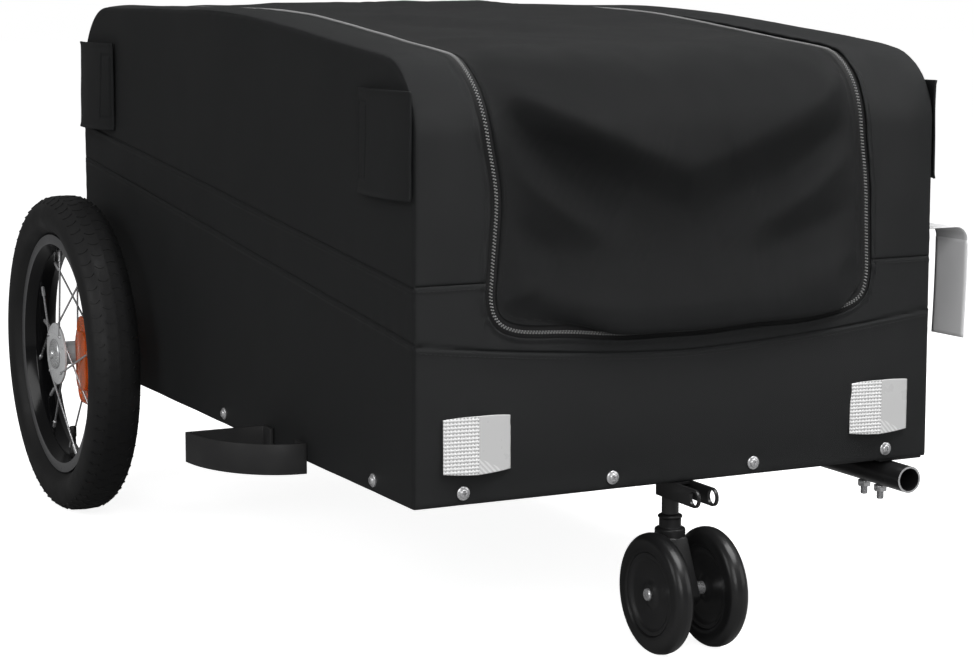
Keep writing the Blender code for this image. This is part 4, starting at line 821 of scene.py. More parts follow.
ZIP_LINE = smooth_line(ZIP_POINTS)
ZIP_RUN = run_lengths(ZIP_LINE)
ZIP_LINE = np.stack([np.interp(np.arange(0, ZIP_RUN[-1], ZIP_PITCH), ZIP_RUN, ZIP_LINE[:, k])
                     for k in (0, 1)], axis=1)
ZIP_RUN = run_lengths(ZIP_LINE)
wander = 0.0009 * np.sin(ZIP_RUN * 61) * np.sin(ZIP_RUN * 17 + 1.0)    # not quite straight
ZIP_SIDEWAYS = np.gradient(ZIP_LINE, ZIP_RUN, axis=0)
ZIP_SIDEWAYS = np.stack([ZIP_SIDEWAYS[:, 1], -ZIP_SIDEWAYS[:, 0]], axis=1)
ZIP_SIDEWAYS /= np.linalg.norm(ZIP_SIDEWAYS, axis=1)[:, None]
ZIP_LINE = ZIP_LINE + ZIP_SIDEWAYS * wander[:, None]
CORNER_T = 0.155               # where the zip's legs begin
ZIP_HALF = 0.0048              # from the middle line to the folded border beside it


def beside_zip(away):
    """The zip's line moved sideways: away is positive towards the fixed cloth."""
    return ZIP_LINE + ZIP_SIDEWAYS * away


def leg_x(side, t, away):
    """Where a leg of the zip crosses run length t."""
    line = beside_zip(away)
    half = len(line) // 2
    part = line[:half][::-1] if side < 0 else line[half:]
    part = part[part[:, 1] >= CORNER_T - 0.004]
    return np.interp(t, part[:, 1], part[:, 0])


def bottom_run(away, count):
    """The bottom of the zip between the two legs, corners included."""
    line = beside_zip(away)
    run = line[line[:, 1] < CORNER_T]
    ends = [(leg_x(-1, CORNER_T, away), CORNER_T), (leg_x(1, CORNER_T, away), CORNER_T)]
    run = np.vstack([ends[0], run, ends[1]])
    where = run_lengths(run)
    even = np.linspace(0, where[-1], count)
    return np.stack([np.interp(even, where, run[:, k]) for k in (0, 1)], axis=1)


# Front of the box

BORDER_STITCH = 0.0046         # from a border beside the zip to its line of stitches


def front_seam(x):
    return 0.104 + 0.018 * (np.abs(x) / BOX_HALF) ** 1.6


def zip_rise(away):
    """The folded and stitched border beside the zip stands slightly proud."""
    fold_up = 0.0007 * np.exp(-(away / 0.0035) ** 4)
    return fold_up - 0.0004 * np.exp(-((away - BORDER_STITCH) / 0.0008) ** 2)


def near_zip(x, t, away):
    """Distance from points to the zip's line moved sideways, in the flat."""
    line = beside_zip(away)[::3]
    flat = np.stack([np.ravel(x), np.ravel(t)], axis=1)
    out = np.empty(len(flat))
    for i in range(0, len(flat), 4000):
        part = flat[i:i + 4000]
        out[i:i + 4000] = np.sqrt(((part[:, None, :] - line[None]) ** 2).sum(-1)).min(1)
    return out.reshape(np.shape(x))


def place_front(x, z):
    """Places on the front panel, x across and z above the bottom edge."""
    away = half_width(z) - np.abs(x)
    border = near_zip(x, z, ZIP_HALF)
    lift = seam(z - front_seam(x)) + puckers(x, z - front_seam(x), 31)
    lift += dimples(x, z, FRONT_SCREWS) - border_drop(z, 0.0008, 0.003)
    lift += zip_rise(border) * (z > 0.1) + puckers(x + z, border, 33, 0.0004, 0.008)
    lift += seam(z - BAND_SEAM + 0.0005, 0.0002, 0.0004) * (z > 0.16)
    slack = np.clip(away / 0.04, 0, 1) * np.clip(z / 0.03, 0, 1)
    lift += slack * (0.0012 * smooth_noise(x, z, 0.12, 35) + 0.0004 * smooth_noise(x, z, 0.04, 36))
    lift += 0.0025 * slack * np.exp(-((z - 0.06) / 0.05) ** 2)
    lift -= border_drop(away, 0.0012, 0.004)
    return skin(np.sign(x) * np.minimum(np.abs(x), half_width(z) - SEWN_IN), z, lift)


def make_front():
    run = bottom_run(ZIP_HALF, 110)
    inner = {-1: run[0, 0], 1: run[-1, 0]}
    columns = run[:, 0]
    low = between(0.0, front_seam(columns), 0.007)
    top = run[:, 1]
    start = front_seam(columns)
    share = np.concatenate([CLUSTER / 0.018 * 0.5, np.linspace(0.2, 1.0, 9)])
    share = np.unique(np.round(share, 5))
    upper = start + (top - start) * share[:, None]
    heights = np.concatenate([low, upper[1:]])
    grids = [grid_of(place_front, np.broadcast_to(columns, heights.shape), heights)]
    for side in (-1, 1):
        joint_heights = heights[:, 0 if side < 0 else -1]
        extra = np.linspace(joint_heights[-1], BAND_SEAM - GAP, 8)[1:]
        rows = np.concatenate([joint_heights, extra])
        border = np.where(rows <= CORNER_T, inner[side], leg_x(side, rows, ZIP_HALF))
        edge = side * (half_width(rows) - SEWN_IN)
        share = np.concatenate([[0.0, 0.02, 0.04, 0.07], np.linspace(0.11, 0.86, 9),
                                [0.9, 0.94, 0.97, 1.0]])
        x = edge[:, None] + (border - edge)[:, None] * share
        grids.append(grid_of(place_front, x, np.broadcast_to(rows[:, None], x.shape)))
    made = cloth_sheet("front_panel", grids, fabric)
    keep(made, "frame", "charcoal_fabric", "bag_front")


def place_band(side):
    """Places on a fixed band, x across and t along the outline."""
    def place(x, t):
        z = outline_at(t)[1]
        away = half_width(z) - np.abs(x)
        border = near_zip(x, t, ZIP_HALF)
        share = np.clip(away / 0.05, 0, 1)
        lift = 0.0022 * np.sin(math.pi * share) * np.clip((t - BAND_SEAM) / 0.05, 0, 1)
        if side > 0:
            lift = lift + 0.0030 * np.clip(share * 3, 0, 1) * np.exp(-((t - 0.42) / 0.16) ** 2)
        lift += zip_rise(border) + puckers(t, border, 41 + side, 0.0005, 0.009)
        lift += puckers(t, away, 43 + side, 0.0005, 0.009)
        lift += 0.0008 * smooth_noise(x, t, 0.10, 45 + side)
        lift -= border_drop(away, 0.0012, 0.004) + border_drop(np.abs(t - BAND_SEAM), 0.0005, 0.002)
        return skin(side * np.minimum(np.abs(x), half_width(z) - SEWN_IN), t, lift)
    return place


def make_band(side, hand):
    t = np.concatenate([BAND_SEAM + np.array([0.0, 0.0007, 0.0016, 0.003]),
                        np.arange(BAND_SEAM + 0.006, T_COVER_END, 0.006), [T_COVER_END]])
    z = outline_at(t)[1]
    edge = side * (half_width(z) - SEWN_IN)
    border = leg_x(side, t, ZIP_HALF)
    share = np.concatenate([[0.0, 0.02, 0.045, 0.075], np.linspace(0.12, 0.82, 9),
                            [0.86, 0.90, 0.935, 0.965, 1.0]])
    x = edge[:, None] + (border - edge)[:, None] * share
    grid = grid_of(place_band(side), x, np.broadcast_to(t[:, None], x.shape))
    made = cloth_sheet(f"fixed_band_{hand}", [grid], fabric)
    keep(made, "frame", "charcoal_fabric", f"band_{hand}")


def rear_seam(x):
    return 0.190 + 0.018 * (np.abs(x) / BOX_HALF) ** 1.6


def place_rear(x, t):
    """Places on the rear panel, x across and t along the outline."""
    z = outline_at(t)[1]
    away = half_width(z) - np.abs(x)
    down = T_END - t
    lift = seam(down - rear_seam(x)) + puckers(x, down - rear_seam(x), 51)
    lift += dimples(x, down, FRONT_SCREWS) - border_drop(down, 0.0008, 0.003)
    slack = np.clip(away / 0.04, 0, 1)
    lift += slack * (0.0014 * smooth_noise(x, t, 0.13, 53) + 0.0005 * smooth_noise(x, t, 0.04, 54))
    lift += 0.002 * slack * np.exp(-((down - 0.07) / 0.05) ** 2)
    lift -= border_drop(away, 0.0012, 0.004) + border_drop(t - T_COVER_END, 0.0010, 0.003)
    return skin(np.sign(x) * np.minimum(np.abs(x), half_width(z) - SEWN_IN), t, lift)


def make_rear():
    share = np.concatenate([[0.0, 0.003, 0.006, 0.010], np.linspace(0.02, 0.98, 60),
                            [0.990, 0.994, 0.997, 1.0]])
    u = share * 2 - 1
    mid = T_END - rear_seam(u * BOX_HALF)
    t = np.concatenate([between(T_COVER_END, mid, 0.007), between(mid, T_END, 0.007)[1:]])
    half = half_width(outline_at(t)[1]) - SEWN_IN
    made = cloth_sheet("rear_panel", [grid_of(place_rear, u * half, t)], fabric)
    keep(made, "frame", "charcoal_fabric", "bag_rear")


# The cover inside the zip: one cloth that sags between its corners

SWAG = 0.168                   # half the swag's width

# Folds of the cover: height, half width and line. Places read off the photo, in metres
# across and along the outline
FOLDS = [
    (0.0050, 0.011, [(-0.170, 0.318), (-0.124, 0.290), (-0.077, 0.271), (-0.023, 0.255)]),
    (0.0045, 0.010, [(0.160, 0.321), (0.123, 0.295), (0.090, 0.280), (0.027, 0.257)]),
    (-0.0060, 0.011, [(-0.164, 0.293), (-0.114, 0.258), (-0.054, 0.225)]),
    (0.0048, 0.010, [(-0.161, 0.262), (-0.128, 0.233), (-0.081, 0.203), (-0.033, 0.178)]),
    (-0.0045, 0.010, [(0.154, 0.284), (0.108, 0.246), (0.057, 0.219)]),
    (0.0050, 0.011, [(0.156, 0.254), (0.113, 0.228), (0.066, 0.204), (0.027, 0.190)]),
    (-0.0035, 0.010, [(0.162, 0.214), (0.108, 0.189), (0.057, 0.178)]),
    (0.0038, 0.009, [(0.163, 0.177), (0.126, 0.159), (0.077, 0.150)]),
    (-0.0035, 0.009, [(-0.162, 0.222), (-0.129, 0.190), (-0.084, 0.165)]),
    (0.0032, 0.008, [(-0.164, 0.148), (-0.139, 0.163), (-0.124, 0.190)]),
    (0.0030, 0.012, [(-0.170, 0.438), (-0.080, 0.388), (0.000, 0.362)]),
    (0.0028, 0.013, [(0.158, 0.416), (0.090, 0.390), (0.041, 0.368)]),
    (0.0026, 0.014, [(-0.162, 0.632), (-0.076, 0.542), (0.026, 0.462)]),
    (-0.0022, 0.014, [(-0.156, 0.560), (-0.064, 0.480), (0.019, 0.418)]),
    (0.0026, 0.015, [(0.143, 0.591), (0.072, 0.540), (-0.026, 0.524)]),
    (0.0024, 0.016, [(-0.155, 0.799), (-0.057, 0.743), (0.048, 0.664)]),
    (0.0026, 0.015, [(0.095, 0.789), (0.022, 0.760), (-0.068, 0.765)]),
]


def fold(x, t, height, reach, line):
    """A soft fold along a line, fading towards its far end."""
    curve = smooth_line(line, 8)
    where = run_lengths(curve)
    flat = np.stack([np.ravel(x), np.ravel(t)], axis=1)
    away = np.sqrt(((flat[:, None, :] - curve[None]) ** 2).sum(-1))
    nearest = away.argmin(1)
    share = where[nearest] / where[-1]
    fade = np.sin(math.pi * np.clip(share, 0, 1) ** 0.75) ** 0.8
    wide = reach * (1 + 0.9 * share)
    return (height * fade * np.exp(-(away.min(1) / wide) ** 2)).reshape(np.shape(x))


def cover_border(x, t):
    """Distance from the cover's own border beside the zip."""
    return near_zip(x, t, -ZIP_HALF)


def cover_lift(x, t):
    """How far the cover stands off the box: its swag, belly and crown, and its folds."""
    border = cover_border(x, t)
    edge = 1 - np.exp(-(border / 0.016) ** 1.5)
    lip = 0.252 + 0.070 * np.clip(np.abs(x + 0.003) / SWAG, 0, 1) ** 1.15
    past = t - lip
    hang = np.where(past > 0, np.exp(-(past / 0.075) ** 2), np.exp(-(past / 0.028) ** 2))
    swag = 0.0150 * np.clip(1 - (x / SWAG) ** 2, 0, 1) ** 0.8 * hang
    belly = 0.0075 * np.clip(1 - (x / 0.155) ** 4, 0, 1) * np.exp(-((t - 0.147) / 0.026) ** 2)
    crown = 0.0030 * np.clip(1 - (x / 0.17) ** 2, 0, 1) * np.clip((t - 0.33) / 0.12, 0, 1)
    crown *= np.clip((T_COVER_END - t) / 0.10, 0, 1)
    lift = swag + belly + crown + 0.0015
    for height, reach, line in FOLDS:
        lift = lift + 1.1 * fold(x, t, height, reach, line)
    lift += 0.0014 * smooth_noise(x, t * 0.7, 0.055, 61) + 0.0006 * smooth_noise(x, t, 0.022, 62)
    return edge * lift + puckers(x + t, border, 63, 0.0007, 0.010) + zip_rise(border) * 0.6


def place_cover(x, t):
    """Places on the cover, whose lower edge bulges and hangs over the zip."""
    lift = cover_lift(x, t)
    bottom = np.interp(x, *bottom_run(-ZIP_HALF, 90).T)
    over = np.clip((x + 0.129) / 0.07, 0, 1) * np.clip((0.166 - x) / 0.03, 0, 1)
    over = over * over * (3 - 2 * over)
    above = np.clip(t - bottom, 0, None)
    drop_by = 0.0125 * over * np.exp(-((above - 0.009) / 0.008) ** 2) * (above < 0.06)
    drop_by = drop_by * np.clip(above / 0.005, 0, 1)
    bulge = 0.0075 * over * np.exp(-((above - 0.010) / 0.010) ** 2) * np.clip(above / 0.004, 0, 1)
    return skin(x, t - drop_by, lift + bulge)


def cover_grid():
    """x and t of the cover's rows, which bend from the zip's bottom run to level ones."""
    run = bottom_run(-ZIP_HALF, 84)
    first, join_t = run[:, 1], 0.200

    def legs(t):
        return [leg_x(side, np.maximum(t, CORNER_T), -ZIP_HALF) for side in (-1, 1)]

    u = np.linspace(0, 1, len(run))
    left, right = legs(first)
    share0 = (run[:, 0] - left) / (right - left)
    rows_t, rows_share = [], []
    for v in (0, 0.015, 0.03, 0.05, 0.075, 0.10, 0.13, 0.16, *np.linspace(0.2, 1, 17)):
        rows_t.append(first + (join_t - first) * v)
        w = v * v * (3 - 2 * v)
        rows_share.append(share0 + (u - share0) * w)
    for t in np.concatenate([np.arange(join_t + 0.0045, 0.42, 0.0045),
                             np.arange(0.42, T_COVER_END, 0.0075), [T_COVER_END]]):
        rows_t.append(np.full(len(u), t))
        rows_share.append(u)
    t, share = np.array(rows_t), np.array(rows_share)
    left, right = legs(t)
    return left + (right - left) * share, t


def fold_with_cover(made):
    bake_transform(made)
    return made


def make_cover():
    x, t = cover_grid()
    made = cloth_sheet("cover", [grid_of(place_cover, x, t)], cover_cloth, 0.0012)
    fold_with_cover(made)
    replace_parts(made, "cover_top", "cover_front")


# Zip

def strip(name, near, far, far_lift):
    """A narrow tape beside the zip's line, all the way round."""
    places, flats = [], []
    for share in np.linspace(0, 1, 4):
        line = beside_zip(near + (far - near) * share)[::2]
        across = np.full(len(line), share * abs(far - near))
        places.append(skin(line[:, 0], line[:, 1], far_lift * share))
        flats.append(np.stack([ZIP_RUN[::2], across], axis=-1))
    return cloth_sheet(name, [(np.array(places), np.array(flats))], tape, 0.0009)


def make_zip():
    fixed = strip("zip_tape_box", 0.0004, 0.0105, -0.0019)
    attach(fixed, "frame")
    moving = strip("zip_tape_cover", -0.0004, -0.0085, -0.0006)
    fold_with_cover(moving)
    tooth, other = [block(f"tooth_{i}", (-0.00048, low, -0.0003), (0.00048, low + 0.0012, 0.0012),
                          zip_teeth, 0.0003) for i, low in enumerate((0.0001, -0.0013))]
    line = beside_zip(0.0)
    places = skin(line[:, 0], line[:, 1], 0.0)
    ups = skin(line[:, 0], line[:, 1], 1.0) - places
    for name, shape, start in (("zip_teeth_box", tooth, 0.0),
                               ("zip_teeth_cover", other, ZIP_PITCH / 2)):
        made = along_paths(name, shape, [(places, ups)], ZIP_PITCH, zip_teeth, start)
        if name.endswith("box"):
            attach(made, "frame")
        else:
            fold_with_cover(made)
    drop(tooth, other)


for side, hand in HANDS:
    make_side(side, hand)
    make_band(side, hand)
make_front()
make_rear()
make_cover()
make_zip()


# Frame, screws and stitches

DEPTH = CLOTH + GAP
LEG = DEPTH + TUBE_RADIUS      # the arch's middle line inside the fabric
RAIL_FACE = half_width(RAIL) - DEPTH
RAIL_MIDDLE = RAIL / 2
AXLE_S = sum(p.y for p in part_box("beam_axle")) / 2 - FRONT_Y
TOW_BEAM_S = 0.230             # middle of the beam over the tow tube's end
BAR_UNDER = 0.017              # from the arch's bend down to its cross bar


def hollow_rail(name, start, end, node):
    """Square steel tube with rounded edges."""
    across = (end - start).normalized().cross(Vector((0, 0, 1)))
    shape = bmesh.new()
    rings = [[shape.verts.new(p + across * u + Vector((0, 0, v)))
              for u, v in rounded_rectangle(size, size, radius, 4)]
             for p, size, radius in ((start, RAIL, 0.0025), (end, RAIL, 0.0025),
                                     (end, 0.015, 0.0012), (start, 0.015, 0.0012))]
    rings_to_faces(shape, rings, True, True)
    keep(new_object(name, shape, powder_coat, 30), "frame", "black_powder_coat", node)


def make_base():
    for side, hand in HANDS:
        x = side * (RAIL_FACE - RAIL_MIDDLE)
        hollow_rail(f"side_rail_{hand}", at(x, DEPTH, RAIL_MIDDLE),
                    at(x, BOX_LENGTH - DEPTH, RAIL_MIDDLE), f"rail_{hand}")
    end = RAIL_FACE - RAIL - GAP
    for node, s in (("rail_front", DEPTH + RAIL_MIDDLE),
                    ("rail_rear", BOX_LENGTH - DEPTH - RAIL_MIDDLE),
                    ("beam_axle", AXLE_S), ("beam_tow", TOW_BEAM_S)):
        hollow_rail(f"{node}_tube", at(-end, s, RAIL_MIDDLE), at(end, s, RAIL_MIDDLE), node)
    x, near, notch = RAIL_FACE - GAP, DEPTH + GAP, 0.0172
    far = BOX_LENGTH - near
    outline = []
    for a, b, y, c in ((1, 1, far, -1), (-1, 1, far, -1), (-1, -1, near, 1), (1, -1, near, 1)):
        corner = [(a * x, y + c * notch), (a * (x - notch), y + c * notch), (a * (x - notch), y)]
        outline += corner if a * b > 0 else corner[::-1]
    board = prism("cargo_floor", outline, 0.0035, board_finish,
                  lambda u, v, w: at(u, v, RAIL + GAP + w))
    keep(bevel(board, 0.0005), "frame", "floor_board", "floor_board")


def make_arch(side, hand):
    foot = 0.0183
    s, z, out_s, out_z = outline_at(np.linspace(foot, T_END - foot, 160))
    path = [at(side * (half_width(a) - LEG), b, a)
            for a, b in zip(z - out_z * LEG, s - out_s * LEG)]
    keep(pipe(f"arch_tube_{hand}", path, TUBE_RADIUS, powder_coat, TUBE_WALL), "frame",
         "black_powder_coat", f"arch_{hand}")


def make_top_bar(node, leg, inward, above):
    """Cross bar between the arches, with a clamp block and a bolt at each end."""
    x, set_back = half_width(above) - LEG, leg + inward * 0.0061
    ends = [at(side * (x - TUBE_RADIUS), set_back, above) for side in (-1, 1)]
    parts = [pipe(f"{node}_tube", ends, TUBE_RADIUS, powder_coat, TUBE_WALL)]
    for side in (-1, 1):
        clamp = block("clamp", at(side * (x - 0.030), leg - inward * 0.0016, above - 0.015),
                      at(side * (x + 0.0032), set_back + inward * 0.0115, above + 0.015),
                      plastic, 0.0012)
        bite = borer(at(side * x, leg, above), (0, 0, 1), TUBE_RADIUS + GAP, -0.02, 0.02)
        bolt = lathe("bolt", [(0.0, 0.0045), (0.0020, 0.0042), (0.0028, 0.0030), (0.0028, 0.0018),
                              (0.0008, 0.0018), (0.0008, 0.0)],
                     at(side * (x - 0.019), set_back + inward * 0.0113, above), (0, inward, 0),
                     zinc, 24)
        parts += [cut(clamp, [bite]), bolt]
    keep(join(f"{node}_and_clamps", parts), "frame", "black_powder_coat", node)


def cross_head():
    """Pan head on a broad washer rim, with a cross recess."""
    profile = [(-0.0006, 0), (-0.0006, 0.0053), (0.0005, 0.0053), (0.0009, 0.0049),
               (0.0011, 0.0041), (0.0013, 0.0037), (0.0021, 0.0034), (0.0027, 0.0025),
               (0.0029, 0.0012), (0.0029, 0)]
    head = lathe("screw_shape", profile, (0, 0, 0), (0, 0, 1), zinc, 32)
    slots = [block("slot", (-a, -b, 0.0013), (a, b, 0.005), zinc)
             for a, b in ((0.0021, 0.00042), (0.00042, 0.0021))]
    return cut(head, slots)


def make_screws():
    places, ups, alongs = [], [], []
    sunk = 0.0003
    for i, x in enumerate(FRONT_SCREWS):
        places += [at(x, sunk, SCREW_ABOVE), at(x, BOX_LENGTH - sunk, SCREW_ABOVE)]
        ups += [(0, -1, 0), (0, 1, 0)]
        alongs += [(math.cos(i * 2.1), 0, math.sin(i * 2.1))] * 2
    for i, s in enumerate(SIDE_SCREWS):
        for side in (-1, 1):
            places.append(at(side * (half_width(SCREW_ABOVE) - sunk), s, SCREW_ABOVE))
            ups.append((side, 0, 0))
            alongs.append((0, math.cos(i * 1.7 + 0.5), math.sin(i * 1.7 + 0.5)))
    shape = cross_head()
    keep(set_out("hem_screws", shape, places, ups, alongs, zinc), "frame", "chromed_steel")
    drop(shape)


def stitch_shape():
    return lathe("stitch", [(-0.0015, 0), (-0.0011, 0.00024), (0, 0.0003), (0.0011, 0.00024),
                            (0.0015, 0)], (0, 0, 0), (1, 0, 0), thread, 6)


def make_stitches():
    stitch = stitch_shape()
    s = np.linspace(0.004, BOX_LENGTH - 0.004, 240)
    x = np.linspace(-BOX_HALF + 0.006, BOX_HALF - 0.006, 150)
    paths = []

    def line(places, up):
        paths.append((places, np.broadcast_to(up, np.shape(places))))

    for side in (-1, 1):
        for seam_at, drop_by in ((upper_seam, 0.0052), (lower_seam, 0.0045)):
            line(place_side(side)(s, seam_at(s) - drop_by), (side, 0, 0))
        t = np.arange(CORNER_T, T_COVER_END - 0.004, 0.003)
        border = leg_x(side, t, ZIP_HALF + BORDER_STITCH)
        line(place_band(side)(border, t), skin(border, t, 1.0) - skin(border, t))
        band = np.linspace(0.172, BOX_HALF - 0.005, 20) * side
        line(place_front(band, np.full(20, BAND_SEAM - 0.004)), (0, -1, 0))
    line(place_front(x, front_seam(x) - 0.0045), (0, -1, 0))
    line(place_rear(x, T_END - rear_seam(x) + 0.0045), (0, 1, 0))
    keep(along_paths("box_stitches", stitch, paths, STITCH_PITCH, thread), "frame",
         "charcoal_fabric")
    x, t = beside_zip(-ZIP_HALF - BORDER_STITCH)[8:-8:2].T
    ups = skin(x, t, 1.0) - skin(x, t)
    sewn = along_paths("cover_stitches", stitch, [(place_cover(x, t), ups)], STITCH_PITCH, thread)
    fold_with_cover(sewn)
    drop(stitch)


# Flaps, patches, label, zip slider

# How far each flap stands out between its hinge and its free edge
FLAP_BULGE = {"front_right_hand": 0.0065, "front_left_hand": 0.0120,
              "rear_right_hand": 0.0095, "rear_left_hand": 0.0095}
FLAP_SEWN = 0.36               # half height of the stitched rectangle, as a share of the flap's


def flap_place(side, hinge, length, low, high, bulge):
    """Places on a flap: u from 0 at its hinge to 1 at its free edge, and height z."""
    middle, half = (low + high) / 2, (high - low) * FLAP_SEWN

    def place(u, z):
        share = (z - low) / (high - low)
        fade = 1 - 0.4 * share if side < 0 else 1 - 0.75 * share ** 2
        proud = bulge * fade * np.sin(math.pi * np.minimum(1, u * 1.02)) ** 0.7
        edge = np.minimum(z - low, high - z)
        free = (1 - u) * abs(length)
        lift = 0.0008 * np.exp(-(edge / 0.0022) ** 2) + 0.0004 * np.exp(-(free / 0.003) ** 2)
        sewn = np.maximum(abs(free - 0.0135) - 0.0090, abs(z - middle) - half)
        lift -= 0.0013 * np.exp(-(sewn / 0.0011) ** 2)
        lift -= 0.0005 * np.exp(-((free - 0.0035) / 0.0008) ** 2)
        lift += 0.0007 * smooth_noise(u * 0.1, z, 0.03, side * 3 + hinge)
        return np.stack([side * (half_width(z) + GAP + CLOTH + proud + lift + 0.0006),
                         FRONT_Y + hinge + length * u, EDGE + z], axis=-1)
    return place


def make_flap(side, hand, end):
    node = f"flap_{end}_{hand}"
    low, high = (p.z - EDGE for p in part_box(node))
    hinge, length = (0.0006, 0.0945) if end == "front" else (BOX_LENGTH - 0.0006, -0.1025)
    place = flap_place(side, hinge, length, low, high, FLAP_BULGE[f"{end}_{hand}"])
    u, z = np.meshgrid(np.linspace(0, 1, 64), np.linspace(low, high, 54))
    flats = np.stack([u * abs(length), z], axis=-1)
    made = cloth_sheet(f"cloth_{node}", [(place(u, z), flats)], fabric, outward=(side, 0, 0))
    body = f"corner_{node}"
    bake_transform(made)
    keep(made, "", "charcoal_fabric", node)
    stitch = stitch_shape()
    far = 1 - 0.0225 / abs(length), 1 - 0.0045 / abs(length)
    middle, half = (low + high) / 2, (high - low) * FLAP_SEWN
    corners = [(far[0], middle - half), (far[1], middle - half), (far[1], middle + half),
               (far[0], middle + half), (far[0], middle - half)]
    path = np.concatenate([np.linspace(a, b, 12) for a, b in zip(corners, corners[1:])])
    edge = np.linspace((1 - 0.0035 / abs(length), low + 0.003),
                       (1 - 0.0035 / abs(length), high - 0.003), 20)
    paths = [(place(*p.T), np.broadcast_to((side, 0, 0), (len(p), 3))) for p in (path, edge)]
    keep(along_paths(f"stitches_{node}", stitch, paths, STITCH_PITCH, thread), body,
         "charcoal_fabric")
    drop(stitch)


PATCH_WIDTH, PATCH_HEIGHT = 0.0555, 0.0442


def make_patch(side, hand, end):
    """Silver patch with a low upright ridge, bowed edges and a pinked border."""
    node = f"patch_{end}_{hand}"
    outward = -1 if end == "front" else 1
    face = 0.0 if end == "front" else BOX_LENGTH
    centre = side * (BOX_HALF - 0.0235 - PATCH_WIDTH / 2)
    u, v = np.meshgrid(np.linspace(-1, 1, 41), np.linspace(-1, 1, 60))
    bow = 0.0016 * (1 - u * u)
    pink = 0.0006 * np.abs(np.sin(v * 44)) * (u > 0.97)
    z = 0.0455 + v * (0.0205 + bow)
    ridge = 0.004 * (1 - np.abs(u)) + 0.0009
    x = centre + u * PATCH_WIDTH / 2 + pink
    places = np.stack([x, FRONT_Y + face + outward * (ridge + 0.0016), EDGE + z], axis=-1)
    made = cloth_sheet(f"reflective_{node}", [(places, np.stack([x - centre, z], -1))],
                       patch_painted_light_and_shade, 0.0012, (0, outward, 0))
    keep(made, "frame", "reflective_patch", node)


def make_tag():
    """A ribbon that loops out of the corner seam, and the blank card that hangs from it."""
    top, card_out, card_height, turned = 0.188, 0.0407, 0.081, -0.03
    root = half_width(top) + GAP
    run = [(root - 0.001, top)] + arc((root + 0.0285, top - 0.012), 0.012, 90, 0, 10)
    run += [(root + 0.0405, top - 0.014), (root + card_out, top - 0.018)]
    run = np.array(run)
    where = run_lengths(run)
    b, i = np.meshgrid(np.linspace(0.004, 0.044, 12), np.arange(len(run)))
    x = run[i, 0] + turned * (b - 0.004) * where[i] / where[-1]
    places = np.stack([x, FRONT_Y + b, EDGE + run[i, 1]], axis=-1)
    made = cloth_sheet("label_ribbon", [(places, np.stack([b, where[i]], -1))], ribbon_cloth,
                       0.0008, (1, 0, 1))
    keep(made, "frame", "label")
    b, v = np.meshgrid(np.linspace(0.0037, 0.0443, 12), np.linspace(0, card_height, 26))
    x = root + card_out - 0.002 * (v / card_height) ** 2 + turned * (b - 0.004)
    places = np.stack([x, FRONT_Y + b, EDGE + top - 0.012 - v], axis=-1)
    card = cloth_sheet("label_card", [(places, np.stack([b, v], -1))], label_card, 0.0010,
                       (1, 0, 0))
    keep(card, "frame", "label", "hang_tag")


def make_zip_slider():
    low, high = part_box("zip_slider")
    tab_low, tab_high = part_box("zip_pull")
    x, base = (low.x + high.x) / 2, low.z + 0.0026
    hinge = Vector((x, (low.y + high.y) / 2, (tab_low.z + tab_high.z) / 2))
    body = block("slider", low, (high.x, high.y, base), zip_teeth, 0.0007)
    arch = [(-0.0034, -0.0010), (-0.0034, 0.0), (-0.0025, 0.0020), (0.0025, 0.0020), (0.0034, 0.0),
            (0.0034, -0.0010), (0.0025, -0.0010), (0.0025, 0.0), (0.0017, 0.0011),
            (-0.0017, 0.0011), (-0.0025, 0.0), (-0.0025, -0.0010)]
    bridge = prism("bridge", softened(arch, 0.0006, 2), 0.0028, zip_teeth,
                   lambda u, v, w: hinge + Vector((w - 0.0014, u, v)))
    keep(join("zip_runner", [body, bridge]), "frame", "zip_metal", "zip_slider")
    pull = prism("zip_tab", rounded_rectangle(0.0065, 0.022, 0.0022), 0.0012, zip_teeth,
                 lambda u, v, w: hinge + Vector((u, v - 0.0104, w - 0.0006)))
    bevel(pull, 0.0002, 1)
    eyes = [block("eye", hinge + Vector((-0.0017, -0.0038, -0.01)),
                  hinge + Vector((0.0017, -0.0006, 0.01)), zip_teeth),
            block("slot", hinge + Vector((-0.0016, -0.0190, -0.01)),
                  hinge + Vector((0.0016, -0.0075, 0.01)), zip_teeth)]
    keep(cut(pull, eyes), "zip_tab", "zip_metal", "zip_pull")


# Wheels

def two_tone(made, finish, test):
    """Gives the faces that pass the test a second finish."""
    made.data.materials.append(finish)
    for face in made.data.polygons:
        face.material_index = int(test(face))
    return made


RIM_RADIUS = 0.1185
SPOKES_A_SIDE = 8
FLANGE_MIDDLE = 0.0145         # of a hub flange, from the wheel's middle


def tyre_outline():
    """Half the tyre's outside from bead to crown, as (across, radius)."""
    r, section = RIM_RADIUS, 0.0385
    return [tuple(p) for p in smooth_line([
        (0.0135, r + 0.0006), (0.0170, r + 0.0030), (0.0226, r + 0.24 * section),
        (0.0245, r + 0.50 * section), (0.0219, r + 0.77 * section), (0.0132, 0.1546),
        (0.0, 0.1562)], 7)]


